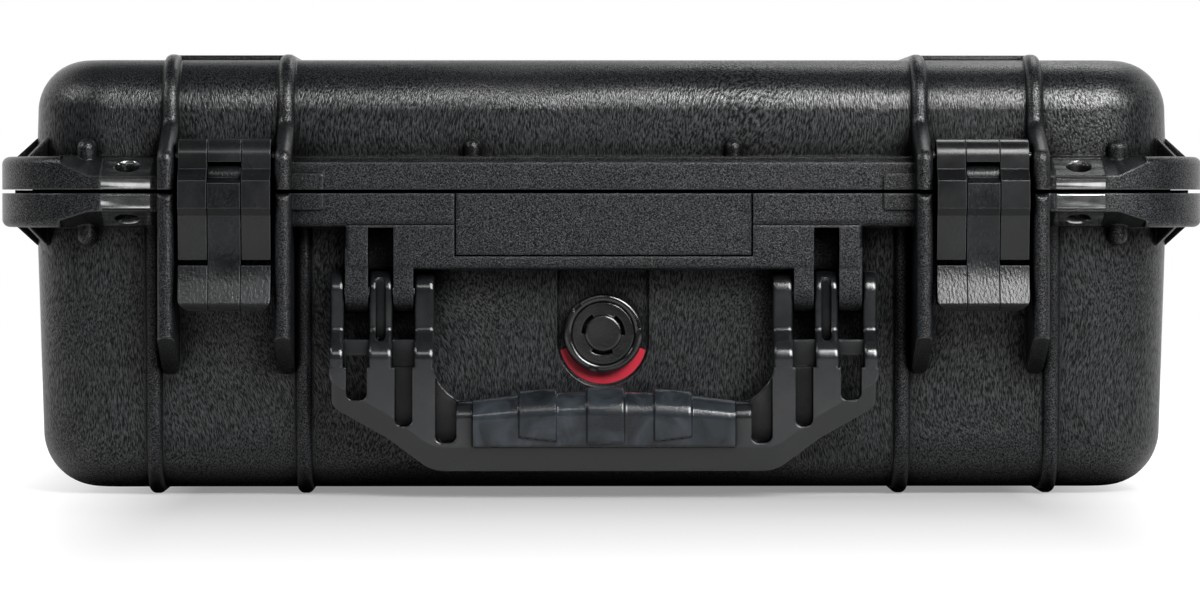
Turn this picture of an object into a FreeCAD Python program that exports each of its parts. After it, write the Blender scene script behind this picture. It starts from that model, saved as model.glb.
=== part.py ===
import FreeCAD, Part
import math
import os

# Protective hard case: moulded base and lid, two double-throw latches, folding handle, vent valve and foam.
# Lengths are millimetres. X runs to the right, the front of the case faces -Y and Z is up.
# The origin lies on the floor under the middle of the case.

Vector = FreeCAD.Vector

# Drafting values shared by every piece
overrun = 1.0            # how far a cutting tool runs past the face that it opens
bite = 1.0               # how far two forms run into each other before they are joined
touch = 1.0e-4           # two points closer than this are one point
pin_play = 0.05          # radial clearance of a pin in its hole
swing_gap = 0.4          # side clearance between turning neighbours

# Shells
body_half_width = 148.0      # outer skin at the parting plane, along Y
body_corner = 30.0           # plan radius of the skin
draft_angle = 1.6            # degrees, walls lean inwards away from the parting plane
wall = 5.0
seam_gap = 1.4               # open line between the two rim flanges
parting_height = 118.4       # parting plane above the floor
lid_rise = 51.4              # parting plane to the top skin
hoop_foot = 2.5              # base hoops stand this far below the bottom skin
hoop_top = 2.2               # lid hoops stand this far above the top skin
hoop_side = 3.0              # hoops stand this far off the side walls
base_edge_radius = 22.0      # rounding between the base walls and the bottom
lid_edge_radius = 20.0       # rounding between the lid walls and the top

# Rim flanges
flange_reach_x = 12.5        # flange beyond the skin at both ends
flange_reach_y = 19.0        # flange beyond the skin at the front and the rear
flange_corner = 42.0
flange_edge_radius = 3.0
base_flange_height = 13.2
lid_flange_height = 12.8
ridge_height = 10.5          # front ridge of the lid flange, from the flange face
ridge_depth = 5.5            # the upper step stands back this far behind the ridge
rim_tab_length = 12.0        # raised tabs beside the inner latch ribs
rim_tab_height = 6.3
rim_tab_stand = 1.2
rim_tab_radius = 1.0
rim_land_start = 3.5         # land that closes the seam behind its open edge, beyond the skin
rim_land_inset = 5.0         # the land stops this far inside the flange edge
rim_land_gap = 0.2           # land to the lid face

# Seal between the rims
tongue_inset = 3.0           # from the cavity wall to the tongue
tongue_width = 3.5
tongue_height = 3.5
groove_play = 1.2            # side clearance of the tongue in the lid groove
groove_depth = 6.1
seal_height = 3.6
seal_play = 0.1

# Latches
latch_width = 35.3
latch_side_gap = 1.5         # latch to rib
handle_side_room = 14.35     # handle to the latch rib beside it
latch_bay_reach = 11.0       # flange front inside a latch bay, beyond the skin
latch_back_gap = 2.0         # latch back to the flange in the bay
latch_barrel_radius = 6.4    # round top of the latch body
latch_pivot_rise = 13.7      # pivot above the parting plane
latch_pivot_radius = 1.5
latch_body_drop = 26.2       # strips end this far below the parting plane
latch_crest = 4.7            # crest of the strips in front of the barrel face
latch_crest_top = 4.1        # crest begins this far above the parting plane
latch_crest_bottom = 6.4     # crest ends this far below it
latch_slope = 4.5            # height of the slope above the crest
latch_heel_slope = 3.0       # height of the slope below the crest
latch_heel = 2.7             # strip face below the crest, in front of the barrel face
latch_end_radius = 1.0       # rounding at the lower back of the strips
latch_toe = 0.7              # strip face at its lower end, in front of the barrel face
stem_width = 12.4
stem_gap = 0.3               # stem to strip
lever_pivot_rise = 5.8       # lever pin above the parting plane
lever_pivot_forward = 2.1    # lever pin in front of the latch pivot
lever_barrel_radius = 4.6
lever_pin_radius = 1.25
lever_bridge_gap = 0.9       # bridge above the lever's round top
lever_bar_gap = 2.2          # strip ends to the T bar
lever_bar_height = 15.0
lever_bar_corner = 5.0
lever_bar_edge = 1.0         # rounding of the T bar's lower edges
lever_bar_sweep = 45.0       # radius of the hollow sweep from the stem into the T bar
lever_lip_height = 2.4
lever_bar_thickness = 6.5
lever_stem_depth = 9.3       # stem thickness below its barrel
lever_face_drop = 0.5        # the stem's front slope begins this far below its pin
lever_crest_drop = 1.0       # the stem's crest begins this far below that of the strips
lever_flare = 4.7            # lower edge of the T bar, in front of the barrel face
lever_line_width = 0.4       # fine lines down the cap and the T bar, in line with the sides of the stem
lever_line_depth = 0.5
nose_gap = 0.9               # locking nose to the flange front
nose_drop = 1.3              # nose top below the base flange
nose_height = 5.0
relief_wall = 2.0            # walls round the hollows in the back of the strips
relief_depth = 8.0

# Latch ribs and hoops
rib_width = 6.5
rib_edge_radius = 2.8
latch_rib_stand = 29.0       # crest of the latch ribs beyond the skin
latch_rib_shares = (0.48, 0.84)     # of the lid's straight wall: crest end, foot of the hoop's run
latch_rib_bend = 4.5         # rounding where the crest runs back
lid_hoop_front = 4.0         # lid hoop beyond the skin where the crest has run back
guard_crest_drop = 56.0      # crest of the base guard ribs ends here below the parting plane
guard_end_drop = 71.0        # guard ribs end here
base_hoop_shift = 6.6        # base hoops sit outside the guard ribs by this much
stack_pad_height = 2.0
stack_pad_start = 62.0
stack_pad_length = 62.0
stack_pad_radius = 1.2

# Gussets
mid_gusset_place = 50.6
mid_gusset_radius = 3.3
end_gusset_gap = 6.65        # gusset centre beyond the padlock plate
end_gusset_radius = 3.8
gusset_height = 7.0
fin_thickness = 2.0
fin_height = 7.2
fin_reach = 7.5
fin_angles = (6.0, 34.0)     # degrees round each corner from the end wall

# Padlock stations
lock_plate_gap = 3.1         # latch rib to padlock plate
lock_plate_width = 19.1
lock_plate_thickness = 1.2
lock_plate_bend = 0.5
lock_plate_end_gap = 1.6     # plate stops short of the slope's inner end
lock_plate_seam_gap = 0.4
lock_hole_radius = 4.75
lock_hole_play = 0.25        # radial play of the lid's hole, so that a shackle always passes
lock_hole_back = 8.2         # hole centre behind the flange front
lock_slope_run = 17.0
lid_lock_face = 5.2          # upright face below the lid slope
base_lock_face = 6.9
scoop_gap = 4.95             # padlock plate to the scoop
scoop_run = 11.0
end_room = 29.45             # padlock plate to the end skin
scoop_face = 9.8             # upright face where the scoop ends

# Front block, lugs and handle
block_end_gap = 0.3          # block to the outer fingers
block_drop = 30.1            # block bottom below the parting plane
block_edge_radius = 2.0
nameplate_half_width = 57.4
nameplate_drop = 25.0
nameplate_depth = 0.8
nameplate_line_width = 0.6       # a finer line runs round the sunk field
nameplate_line_depth = 0.8
handle_pin_drop = 38.4       # pin axis below the parting plane
handle_pin_reach = 10.0      # pin axis beyond the skin
handle_pin_radius = 2.5
handle_head_radius = 7.7
lug_radius = 8.5
handle_half_width = 105.2
outer_finger_width = 5.4
outer_lug_width = 8.8
middle_finger_width = 9.0
inner_lug_width = 7.6
inner_finger_width = 7.6
slot_depth = 13.0            # slots in the block above the middle fingers
handle_front_reach = 26.0    # front face of the handle beyond the skin
handle_thickness = 14.0
handle_bottom = 10.9         # lowest edge above the floor
handle_level_shares = {       # of the way from the lowest edge up to the pins
    "groove_top": 1.072,
    "finger_back_top": 0.797,
    "finger_step_top": 0.782,
    "web_top": 0.732,
    "groove_bottom": 0.725,
    "finger_step_bottom": 0.684,
    "outer_pocket_top": 0.644,
    "finger_back_bottom": 0.624,
    "finger_root": 0.566,
    "brace_top": 0.522,
    "grip_top": 0.443,
    "brace_pocket_top": 0.436,
    "grip_pad_top": 0.399,
    "outer_pocket_bottom": 0.397,
    "bar_top": 0.386,
    "core_top": 0.363,
    "shoulder": 0.363,
    "inner_pocket_bottom": 0.252,
    "grip_pad_bottom": 0.197,
    "knee": 0.182,
    "brace_pocket_bottom": 0.161,
    "grip_bottom": 0.14,
}
web_front = 6.0              # webs lie this far behind the handle front
web_thickness = 5.0
groove_half_width = 1.9
groove_cut = 2.0
bevel_share = 0.136          # of the same height
bevel_depth = 7.0
shoulder_radius = 6.0
knee_inset = 22.2            # knee inside the outer fingers
knee_radius = 12.0
bow_inset = 39.2
bow_radius = 15.0
brace_run = 8.7
brace_radius = 12.0
inner_pocket_depth = 5.5
brace_pocket_depth = 6.0
pocket_side = 0.6            # pocket sides inside the finger gaps
pocket_radius = 2.8
finger_step_radius = 8.0     # rounding where the step meets the handle's front
finger_edge_radius = 1.3
collar_radius = 6.0          # rounding of the bar's upper edge beside the grip

# Grip
grip_end_gap = 6.3           # grip to the foot of the brace
grip_front = 3.0             # grip stands this far in front of the handle face
grip_back = 1.4
grip_edge_radius = 5.0
grip_heel_radius = 1.0       # rounding along the lower edges
core_front = 3.0             # core face behind the handle face
core_back = 3.0
core_radius = 2.0
grip_pad_half_width = 7.0
grip_pad_pitch_share = 0.504     # of the grip's half length
grip_pad_stand = 1.2
grip_pad_radius = 2.0

# Vent valve
valve_drop = 55.0            # valve axis below the parting plane
valve_ring_radius = 15.3
valve_ring_width = 3.2
valve_ring_stand = 5.6       # ring front in front of the seat
valve_ring_edge = 1.2        # rounding of the ring's front edges
valve_floor = 1.6            # thickness of the flange behind the cap
valve_cap_radius = 12.0
valve_cap_stand = 4.8
valve_boss_radius = 7.1
valve_boss_stand = 6.0
valve_boss_edge = 0.8
valve_slot_width = 1.3
valve_slot_depth = 2.4
valve_slot_angle = 60.0      # degrees, as are the start angles
valve_slot_start_angles = (121.0, -5.0, -123.0)
valve_notch_angle = 14.0
valve_notch_start_angles = (8.0, 128.0, 248.0)
valve_notch_depth = 1.0
valve_stem_radius = 8.0
valve_bore_radius = 5.0
valve_stem_inside = 7.0      # stem inside the wall
valve_gasket_width = 2.4
valve_gasket_thickness = 1.5
valve_nut_radius = 12.5
valve_nut_sides = 6
valve_nut_thickness = 4.5
valve_membrane_thickness = 0.4
valve_membrane_depth = 4.0
valve_seat_half_width = 17.8
valve_seat_depth = 1.3
valve_seat_drop = 2.9
label_radius = 17.0
label_drop = 2.7
label_gap = 0.2
label_thickness = 0.3
label_half_angle = 68.0

# Rear hinges
hinge_reach = 23.0           # hinge axis beyond the skin
hinge_radius = 7.5
hinge_clearance = 0.5
hinge_pin_radius = 2.5
hinge_leaf_depth = 16.0
hinge_knuckle = 11.7
hinge_knuckle_count = 5

# Foam
foam_gap = 0.4
foam_pad_thickness = 12.2
foam_layer_gap = 0.3
foam_top_drop = 2.2          # base foam ends this far below the parting plane
foam_cell = 12.7
pocket_long_count = 17       # cells of the plucked pocket
pocket_wide_count = 10
lid_foam_rise = 2.4          # lid foam begins this far above the lid face

# Places worked out from the sizes above
base_face = parting_height - seam_gap / 2
lid_face = parting_height + seam_gap / 2
base_flange_bottom = base_face - base_flange_height
lid_flange_top = lid_face + lid_flange_height
bottom_skin = hoop_foot
top_skin = parting_height + lid_rise
front = -body_half_width
flange_front = front - flange_reach_y
latch_half = latch_width / 2
bay_half = latch_half + latch_side_gap
rib_place = bay_half + rib_width / 2
latch_centre = handle_half_width + handle_side_room + rib_width + bay_half
lock_plate_centre = latch_centre + bay_half + rib_width + lock_plate_gap + lock_plate_width / 2
lock_plate_edge = lock_plate_centre + lock_plate_width / 2
scoop_start = lock_plate_edge + scoop_gap
scoop_end = scoop_start + scoop_run
end_gusset_place = lock_plate_edge + end_gusset_gap
body_half_length = lock_plate_edge + end_room
flange_half_length = body_half_length + flange_reach_x
bay_front = front - latch_bay_reach
latch_back = bay_front - latch_back_gap
pivot_y = latch_back - latch_barrel_radius
pivot_z = parting_height + latch_pivot_rise
latch_face = pivot_y - latch_barrel_radius
lever_pivot_y = pivot_y - lever_pivot_forward
lever_pivot_z = parting_height + lever_pivot_rise
strip_end = parting_height - latch_body_drop
lever_bar_top = strip_end - lever_bar_gap
lever_bottom = lever_bar_top - lever_bar_height - lever_lip_height
rib_crest = front - latch_rib_stand
handle_pin_y = front - handle_pin_reach
handle_pin_z = parting_height - handle_pin_drop
handle_rise = handle_pin_z - handle_bottom
handle_face = front - handle_front_reach
handle_back = handle_face + handle_thickness
block_bottom = parting_height - block_drop
outer_lug_edge = handle_half_width - outer_finger_width - swing_gap
middle_finger_edge = outer_lug_edge - outer_lug_width - swing_gap
inner_lug_edge = middle_finger_edge - middle_finger_width - swing_gap
inner_finger_edge = inner_lug_edge - inner_lug_width - swing_gap
arm_inner_edge = inner_finger_edge - inner_finger_width
block_half_width = handle_half_width - outer_finger_width - block_end_gap
knee_place = handle_half_width - knee_inset
bow_place = handle_half_width - bow_inset
brace_foot = arm_inner_edge - brace_run
grip_half_length = brace_foot - grip_end_gap
valve_height = parting_height - valve_drop
hinge_centre = latch_centre
hinge_y = body_half_width + hinge_reach
draft = math.tan(math.radians(draft_angle))


# Drawing helpers

def rounded_wire(corners, place):
    """Closed wire through (u, v, radius) corners; each corner is rounded by its own radius."""
    edges = []
    spans = []
    for index, (u, v, radius) in enumerate(corners):
        here = Vector(u, v, 0)
        before = Vector(corners[index - 1][0], corners[index - 1][1], 0) - here
        after_corner = corners[(index + 1) % len(corners)]
        after = Vector(after_corner[0], after_corner[1], 0) - here
        before.normalize()
        after.normalize()
        if not radius:
            spans.append((here, here, here))
            continue
        half = before.getAngle(after) / 2
        middle = before + after
        middle.normalize()
        run = radius / math.tan(half)
        crown = radius / math.sin(half) - radius
        spans.append((here + before * run, here + middle * crown, here + after * run))
    for index, (start, crown, end) in enumerate(spans):
        if start.distanceToPoint(end) > touch:
            arc = Part.Arc(place(start.x, start.y), place(crown.x, crown.y), place(end.x, end.y))
            edges.append(arc.toShape())
        following = spans[(index + 1) % len(spans)][0]
        if end.distanceToPoint(following) > touch:
            line = Part.LineSegment(place(end.x, end.y), place(following.x, following.y))
            edges.append(line.toShape())
    return Part.Wire(edges)


def across(corners, start, end):
    """Side profile of (y, z, radius) corners drawn out along X."""
    wire = rounded_wire(corners, lambda u, v: Vector(start, u, v))
    return Part.Face(wire).extrude(Vector(end - start, 0, 0))


def outward(corners, start, end):
    """Front outline of (x, z, radius) corners drawn out along Y."""
    wire = rounded_wire(corners, lambda u, v: Vector(u, start, v))
    return Part.Face(wire).extrude(Vector(0, end - start, 0))


def block(x_span, y_span, z_span):
    """Plain box between pairs of limits, in any order."""
    lows = [min(span) for span in (x_span, y_span, z_span)]
    sizes = [abs(span[1] - span[0]) for span in (x_span, y_span, z_span)]
    return Part.makeBox(sizes[0], sizes[1], sizes[2], Vector(lows[0], lows[1], lows[2]))


def rod_x(y, z, radius, start, end):
    return Part.makeCylinder(radius, end - start, Vector(start, y, z), Vector(1, 0, 0))


def rod_y(x, z, radius, start, end):
    return Part.makeCylinder(radius, end - start, Vector(x, start, z), Vector(0, 1, 0))


def rod_z(x, y, radius, start, end):
    return Part.makeCylinder(radius, end - start, Vector(x, y, start), Vector(0, 0, 1))


def mirrored(shape):
    """The same piece on the other side of the case."""
    return shape.mirror(Vector(0, 0, 0), Vector(1, 0, 0))


def both_sides(shapes):
    return shapes + [mirrored(shape) for shape in shapes]


def level_edges(shape, level):
    """Edges that lie flat at one height."""
    chosen = []
    for edge in shape.Edges:
        box = edge.BoundBox
        if abs(box.ZMin - level) < touch and abs(box.ZMax - level) < touch:
            chosen.append(edge)
    return chosen


def flank_edges(shape, places):
    """Edges that lie flat in planes across X."""
    chosen = []
    for edge in shape.Edges:
        box = edge.BoundBox
        if any(abs(box.XMin - place) < touch and abs(box.XMax - place) < touch for place in places):
            chosen.append(edge)
    return chosen


def face_edges(shape, level):
    """Edges that lie flat in one plane across Y."""
    chosen = []
    for edge in shape.Edges:
        box = edge.BoundBox
        if abs(box.YMin - level) < touch and abs(box.YMax - level) < touch:
            chosen.append(edge)
    return chosen


def single(shape):
    """The one solid of a joined shape."""
    return shape.removeSplitter().Solids[0]


def handle_level(name):
    """Height of one of the handle's levels above the floor."""
    return handle_bottom + handle_level_shares[name] * handle_rise


# Shell forms

def ring_corners(half_x, half_y, radius):
    """Corners of a rounded rectangle about the middle of the case."""
    return [
        (-half_x, -half_y, radius),
        (half_x, -half_y, radius),
        (half_x, half_y, radius),
        (-half_x, half_y, radius),
    ]


def plan_prism(half_x, half_y, radius, start, end):
    """Upright prism with a rounded plan."""
    wire = rounded_wire(ring_corners(half_x, half_y, radius), lambda u, v: Vector(u, v, start))
    return Part.Face(wire).extrude(Vector(0, 0, end - start))


def tub(closed_level, open_level, inset, edge_radius):
    """Drafted tub form: narrower at its closed level, with that edge rounded."""
    side = 1 if closed_level < parting_height else -1
    wires = []
    for level in (closed_level, open_level):
        lean = draft * side * (parting_height - level)
        half_x = body_half_length - inset - lean
        half_y = body_half_width - inset - lean
        corners = ring_corners(half_x, half_y, body_corner - inset)
        wires.append(rounded_wire(corners, lambda u, v, z=level: Vector(u, v, z)))
    form = Part.makeLoft(wires, True, True)
    return form.makeFillet(edge_radius, level_edges(form, closed_level))


def skin_y(level):
    """Front skin at a height."""
    return front + draft * abs(parting_height - level)


def lock_slope_angle(flange_height, face_height):
    return math.atan((flange_height - face_height) / lock_slope_run)


def lock_wedge_wire(place_x, face, side, flange_height, face_height):
    """Section of what the padlock slope takes off the flange."""
    far = flange_height + overrun
    points = [
        (flange_front - overrun, face_height),
        (flange_front, face_height),
        (flange_front + lock_slope_run, flange_height),
        (flange_front + lock_slope_run, far),
        (flange_front - overrun, far),
    ]
    corners = [(y, face + side * rise, 0) for y, rise in points]
    return rounded_wire(corners, lambda u, v: Vector(place_x, u, v))


def lock_plate(face, side, flange_height, face_height):
    """Bent sheet on the right-hand padlock station, with its hole."""
    angle = lock_slope_angle(flange_height, face_height)
    slope_y = math.cos(angle)
    slope_z = math.sin(angle)
    length = (lock_slope_run - lock_plate_end_gap) / slope_y
    inner_run = lock_plate_thickness * (1 - slope_z) / slope_y
    inner_rise = face_height - lock_plate_thickness * slope_y + inner_run * slope_z
    end_y = flange_front + length * slope_y
    end_rise = face_height + length * slope_z
    points = [
        (flange_front, lock_plate_seam_gap, 0),
        (flange_front, face_height, lock_plate_bend + lock_plate_thickness),
        (end_y, end_rise, 0),
        (end_y + lock_plate_thickness * slope_z, end_rise - lock_plate_thickness * slope_y, 0),
        (flange_front + lock_plate_thickness, inner_rise, lock_plate_bend),
        (flange_front + lock_plate_thickness, lock_plate_seam_gap, 0),
    ]
    corners = [(y, face + side * rise, radius) for y, rise, radius in points]
    half = lock_plate_width / 2
    return across(corners, lock_plate_centre - half, lock_plate_centre + half)


def lock_hole(play):
    radius = lock_hole_radius + play
    return rod_z(lock_plate_centre, flange_front + lock_hole_back, radius, bottom_skin, top_skin)


def flange(face, side, flange_height, face_height):
    """Rim flange with its latch bays and padlock slopes."""
    outer_level = face + side * flange_height
    start = min(face, outer_level)
    end = max(face, outer_level)
    form = plan_prism(flange_half_length, -flange_front, flange_corner, start, end)
    form = form.makeFillet(flange_edge_radius, level_edges(form, outer_level))
    tools = []
    bay = block(
        (latch_centre - bay_half, latch_centre + bay_half),
        (bay_front, flange_front - overrun),
        (start - overrun, end + overrun),
    )
    slope_start = latch_centre + rib_place
    straight = lock_wedge_wire(slope_start, face, side, flange_height, face_height)
    slope = Part.Face(straight).extrude(Vector(scoop_start - slope_start, 0, 0))
    scoop_wires = [
        lock_wedge_wire(scoop_start, face, side, flange_height, face_height),
        lock_wedge_wire(scoop_end, face, side, flange_height, scoop_face),
    ]
    scoop = Part.makeLoft(scoop_wires, True, True)
    plate = lock_plate(face, side, flange_height, face_height)
    tools += both_sides([bay, slope, scoop, plate])
    return form.cut(tools)


def slab(corners, middle):
    """Hoop slab across the case with both of its edges rounded."""
    half = rib_width / 2
    form = across(corners, middle - half, middle + half)
    start = corners[0][1]
    edges = flank_edges(form, (middle - half, middle + half))
    edges = [edge for edge in edges if abs(edge.BoundBox.ZMin - start) + edge.BoundBox.ZLength > touch]
    return form.makeFillet(rib_edge_radius, edges)


def base_hoop(middle):
    top = base_face - base_flange_height / 2
    side_top = body_half_width + hoop_side
    side_foot = body_half_width + hoop_side - draft * parting_height
    foot_radius = base_edge_radius + hoop_foot
    corners = [
        (-side_top, top, 0),
        (-side_foot, 0, foot_radius),
        (side_foot, 0, foot_radius),
        (side_top, top, 0),
    ]
    return slab(corners, middle)


def lid_hoop(middle):
    top = top_skin + hoop_top
    top_radius = lid_edge_radius + hoop_top
    straight = lid_rise - lid_edge_radius
    crest_end, run_end = [parting_height + share * straight for share in latch_rib_shares]
    front_run = skin_y(run_end) - lid_hoop_front
    front_top = skin_y(top) - hoop_top
    corners = [
        (rib_crest, lid_face, 0),
        (rib_crest, crest_end, latch_rib_bend),
        (front_run, run_end, latch_rib_bend),
        (front_top, top, top_radius),
        (-front_top, top, top_radius),
        (body_half_width + hoop_side, lid_face, 0),
    ]
    return slab(corners, middle)


def guard_rib(middle):
    """Deep rib beside a latch, with a rounded lower end and a slope at its foot."""
    half = rib_width / 2
    end = parting_height - guard_end_drop
    inner = skin_y(end) + wall / 2
    outline = [
        (middle - half, base_face, 0),
        (middle + half, base_face, 0),
        (middle + half, end, half - touch),
        (middle - half, end, half - touch),
    ]
    form = outward(outline, rib_crest, inner)
    form = form.makeFillet(rib_edge_radius, face_edges(form, rib_crest))
    crest_end = parting_height - guard_crest_drop
    wedge = [
        (rib_crest - overrun, crest_end, 0),
        (rib_crest, crest_end, 0),
        (skin_y(end), end, 0),
        (skin_y(end), end - overrun, 0),
        (rib_crest - overrun, end - overrun, 0),
    ]
    return form.cut(across(wedge, middle - rib_width, middle + rib_width))


def gusset(middle, radius, face, side, flange_height):
    """Round-ended gusset in the corner between flange and wall."""
    outer = face + side * flange_height
    tip = outer + side * (gusset_height - radius)
    start = min(face + side * flange_height / 2, tip)
    end = max(face + side * flange_height / 2, tip)
    centre_y = front - radius / 2
    column = rod_z(middle, centre_y, radius, start, end)
    return column.fuse(Part.makeSphere(radius, Vector(middle, centre_y, tip)))


def corner_fins(face, side, flange_height):
    """Thin triangular fins round the four corners of a flange."""
    fins = []
    outer = face + side * flange_height
    for angle in fin_angles:
        root = body_corner - wall / 2
        corners = [
            (root, face + side * flange_height / 2, 0),
            (body_corner + fin_reach, face + side * flange_height / 2, 0),
            (body_corner + fin_reach, outer, 0),
            (body_corner - draft * flange_height, outer + side * fin_height, 0),
            (root, outer + side * fin_height, 0),
        ]
        wire = rounded_wire(corners, lambda u, v: Vector(u, -fin_thickness / 2, v))
        fin = Part.Face(wire).extrude(Vector(0, fin_thickness, 0))
        fin.rotate(Vector(0, 0, 0), Vector(0, 0, 1), -angle)
        fin.translate(Vector(body_half_length - body_corner, body_corner - body_half_width, 0))
        fins.append(fin)
        fins.append(fin.mirror(Vector(0, 0, 0), Vector(0, 1, 0)))
    return both_sides(fins)


def hinge_spans(lid_side):
    """X spans of the knuckles of one shell on the right-hand hinge; the base has the outer ones."""
    pitch = hinge_knuckle + swing_gap
    first = hinge_centre - (pitch * hinge_knuckle_count - swing_gap) / 2
    starts = [first + pitch * index for index in range(hinge_knuckle_count)]
    spans = [(start, start + hinge_knuckle) for start in starts]
    return spans[1::2] if lid_side else spans[::2]


def knuckles(lid_side):
    face = lid_face if lid_side else base_face
    side = 1 if lid_side else -1
    forms = []
    for start, end in hinge_spans(lid_side):
        barrel = rod_x(hinge_y, parting_height, hinge_radius, start, end)
        far = parting_height + side * hinge_radius
        leaf = block((start, end), (hinge_y - hinge_leaf_depth, hinge_y), (face, far))
        forms += [barrel, leaf]
    return both_sides(forms)


def knuckle_room(lid_side):
    """Room that one shell leaves for the knuckles of the other, and the pin hole."""
    tools = []
    radius = hinge_radius + hinge_clearance
    for start, end in hinge_spans(not lid_side):
        room = rod_x(hinge_y, parting_height, radius, start - swing_gap, end + swing_gap)
        tools.append(room)
    return both_sides(tools)


def hinge_ends():
    spans = hinge_spans(False)
    return spans[0][0], spans[-1][1]


def hinge_hole():
    start, end = hinge_ends()
    radius = hinge_pin_radius + pin_play
    return rod_x(hinge_y, parting_height, radius, start - overrun, end + overrun)


def rim_tab(face, side):
    outer = latch_centre - rib_place - rib_width / 2
    corners = [
        (outer - rim_tab_length, face, 0),
        (outer, face, 0),
        (outer, face + side * rim_tab_height, 0),
        (outer - rim_tab_length, face + side * rim_tab_height, rim_tab_radius),
    ]
    return outward(corners, flange_front - rim_tab_stand, bay_front)


def rim_land():
    """Low land round the base rim that stops short of the lid face."""
    start = base_face - bite
    end = lid_face - rim_land_gap
    form = plan_prism(
        flange_half_length - rim_land_inset, -flange_front - rim_land_inset,
        flange_corner - rim_land_inset, start, end)
    room = plan_prism(
        body_half_length + rim_land_start, body_half_width + rim_land_start,
        body_corner + rim_land_start, start - overrun, end + overrun)
    bay = block(
        (latch_centre - rib_place, latch_centre + rib_place),
        (bay_front + rim_land_start, flange_front - overrun),
        (start - overrun, end + overrun),
    )
    return form.cut([room] + both_sides([bay]))


def tongue_ring(play, start, end):
    """Ring on the rim between the cavity wall and the flange edge."""
    inner = wall - tongue_inset + play
    outer = wall - tongue_inset - tongue_width - play
    outer_form = plan_prism(
        body_half_length - outer, body_half_width - outer, body_corner - outer, start, end)
    inner_form = plan_prism(
        body_half_length - inner, body_half_width - inner, body_corner - inner, start, end)
    return outer_form.cut(inner_form)


# Base shell

def finger_slot():
    start = middle_finger_edge - middle_finger_width - swing_gap
    end = middle_finger_edge + swing_gap
    return block(
        (start, end),
        (flange_front - overrun, flange_front + slot_depth),
        (block_bottom - overrun, base_flange_bottom),
    )


def handle_lug(outer_edge, width):
    """Lug under the front block with a round lower front about the handle pin."""
    corners = [
        (front + wall / 2, block_bottom + lug_radius, 0),
        (front + wall / 2, handle_pin_z - lug_radius, 0),
        (handle_pin_y - lug_radius, handle_pin_z - lug_radius, lug_radius),
        (handle_pin_y - lug_radius, block_bottom + lug_radius, 0),
    ]
    return across(corners, outer_edge - width, outer_edge)


def front_block():
    outline = [
        (-block_half_width, base_flange_bottom + bite, 0),
        (-block_half_width, block_bottom, 0),
        (block_half_width, block_bottom, 0),
        (block_half_width, base_flange_bottom + bite, 0),
    ]
    form = outward(outline, flange_front, front + wall / 2)
    chosen = [edge for edge in face_edges(form, flange_front) if edge.BoundBox.ZMin < base_flange_bottom]
    return form.makeFillet(block_edge_radius, chosen)


def nameplate():
    """Sunk field in the middle of the front block, with a deeper line along its sides and foot."""
    low = parting_height - nameplate_drop
    floor = flange_front + nameplate_depth
    half = nameplate_half_width
    field = block((-half, half), (flange_front - overrun, floor), (low, base_face + overrun))
    line = block((-half, half), (floor - overrun, floor + nameplate_line_depth), (low, base_face + overrun))
    inner = half - nameplate_line_width
    kept = block((-inner, inner), (floor, floor + nameplate_line_depth),
                 (low + nameplate_line_width, base_face + overrun))
    return field.fuse(line.cut(kept))


def valve_seat():
    """Flat seat cut into the front wall, round at its lower end."""
    half = valve_seat_half_width
    low = valve_height - valve_seat_drop - half
    outline = [
        (-half, block_bottom, 0),
        (-half, low, half - touch),
        (half, low, half - touch),
        (half, block_bottom, 0),
    ]
    return outward(outline, front - overrun, valve_seat_y())


def valve_seat_y():
    return skin_y(valve_height) + valve_seat_depth


def make_base_shell():
    outer = tub(bottom_skin, base_face, 0, base_edge_radius)
    rim = flange(base_face, -1, base_flange_height, base_lock_face)
    hoop_places = [latch_centre - rib_place - base_hoop_shift, latch_centre + rib_place + base_hoop_shift]
    guard_places = [latch_centre - rib_place, latch_centre + rib_place]
    forms = [rim, rim_land(), front_block()]
    forms += both_sides([base_hoop(place) for place in hoop_places])
    forms += both_sides([guard_rib(place) for place in guard_places])
    lugs = [handle_lug(outer_lug_edge, outer_lug_width), handle_lug(inner_lug_edge, inner_lug_width)]
    forms += both_sides(lugs)
    forms += both_sides([gusset(end_gusset_place, end_gusset_radius, base_face, -1, base_flange_height)])
    forms += corner_fins(base_face, -1, base_flange_height)
    forms += both_sides([rim_tab(base_face, -1)])
    forms += knuckles(False)
    shell = outer.fuse(forms)
    cavity = tub(bottom_skin + wall, base_face + tongue_height + overrun, wall, base_edge_radius - wall)
    pin_hole = rod_x(handle_pin_y, handle_pin_z, handle_pin_radius + pin_play,
                     arm_inner_edge, handle_half_width)
    valve_hole = rod_y(0, valve_height, valve_stem_radius + pin_play, flange_front, 0)
    tools = [cavity, nameplate(), valve_seat(), valve_hole]
    tools += both_sides([finger_slot(), pin_hole, lock_hole(0), hinge_hole()])
    tools += knuckle_room(False)
    shell = shell.cut(tools)
    tongue = tongue_ring(0, base_face - wall / 2, base_face + tongue_height)
    return single(shell.fuse(tongue))


# Lid shell

def stack_pad():
    """Raised pads on the top skin between the hoops of one latch."""
    forms = []
    for start in (-stack_pad_start - stack_pad_length, stack_pad_start):
        pad = block(
            (latch_centre - rib_place, latch_centre + rib_place),
            (start, start + stack_pad_length),
            (top_skin - wall / 2, top_skin + stack_pad_height),
        )
        pad = pad.makeFillet(stack_pad_radius, level_edges(pad, top_skin + stack_pad_height))
        forms.append(pad)
    return forms


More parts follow.
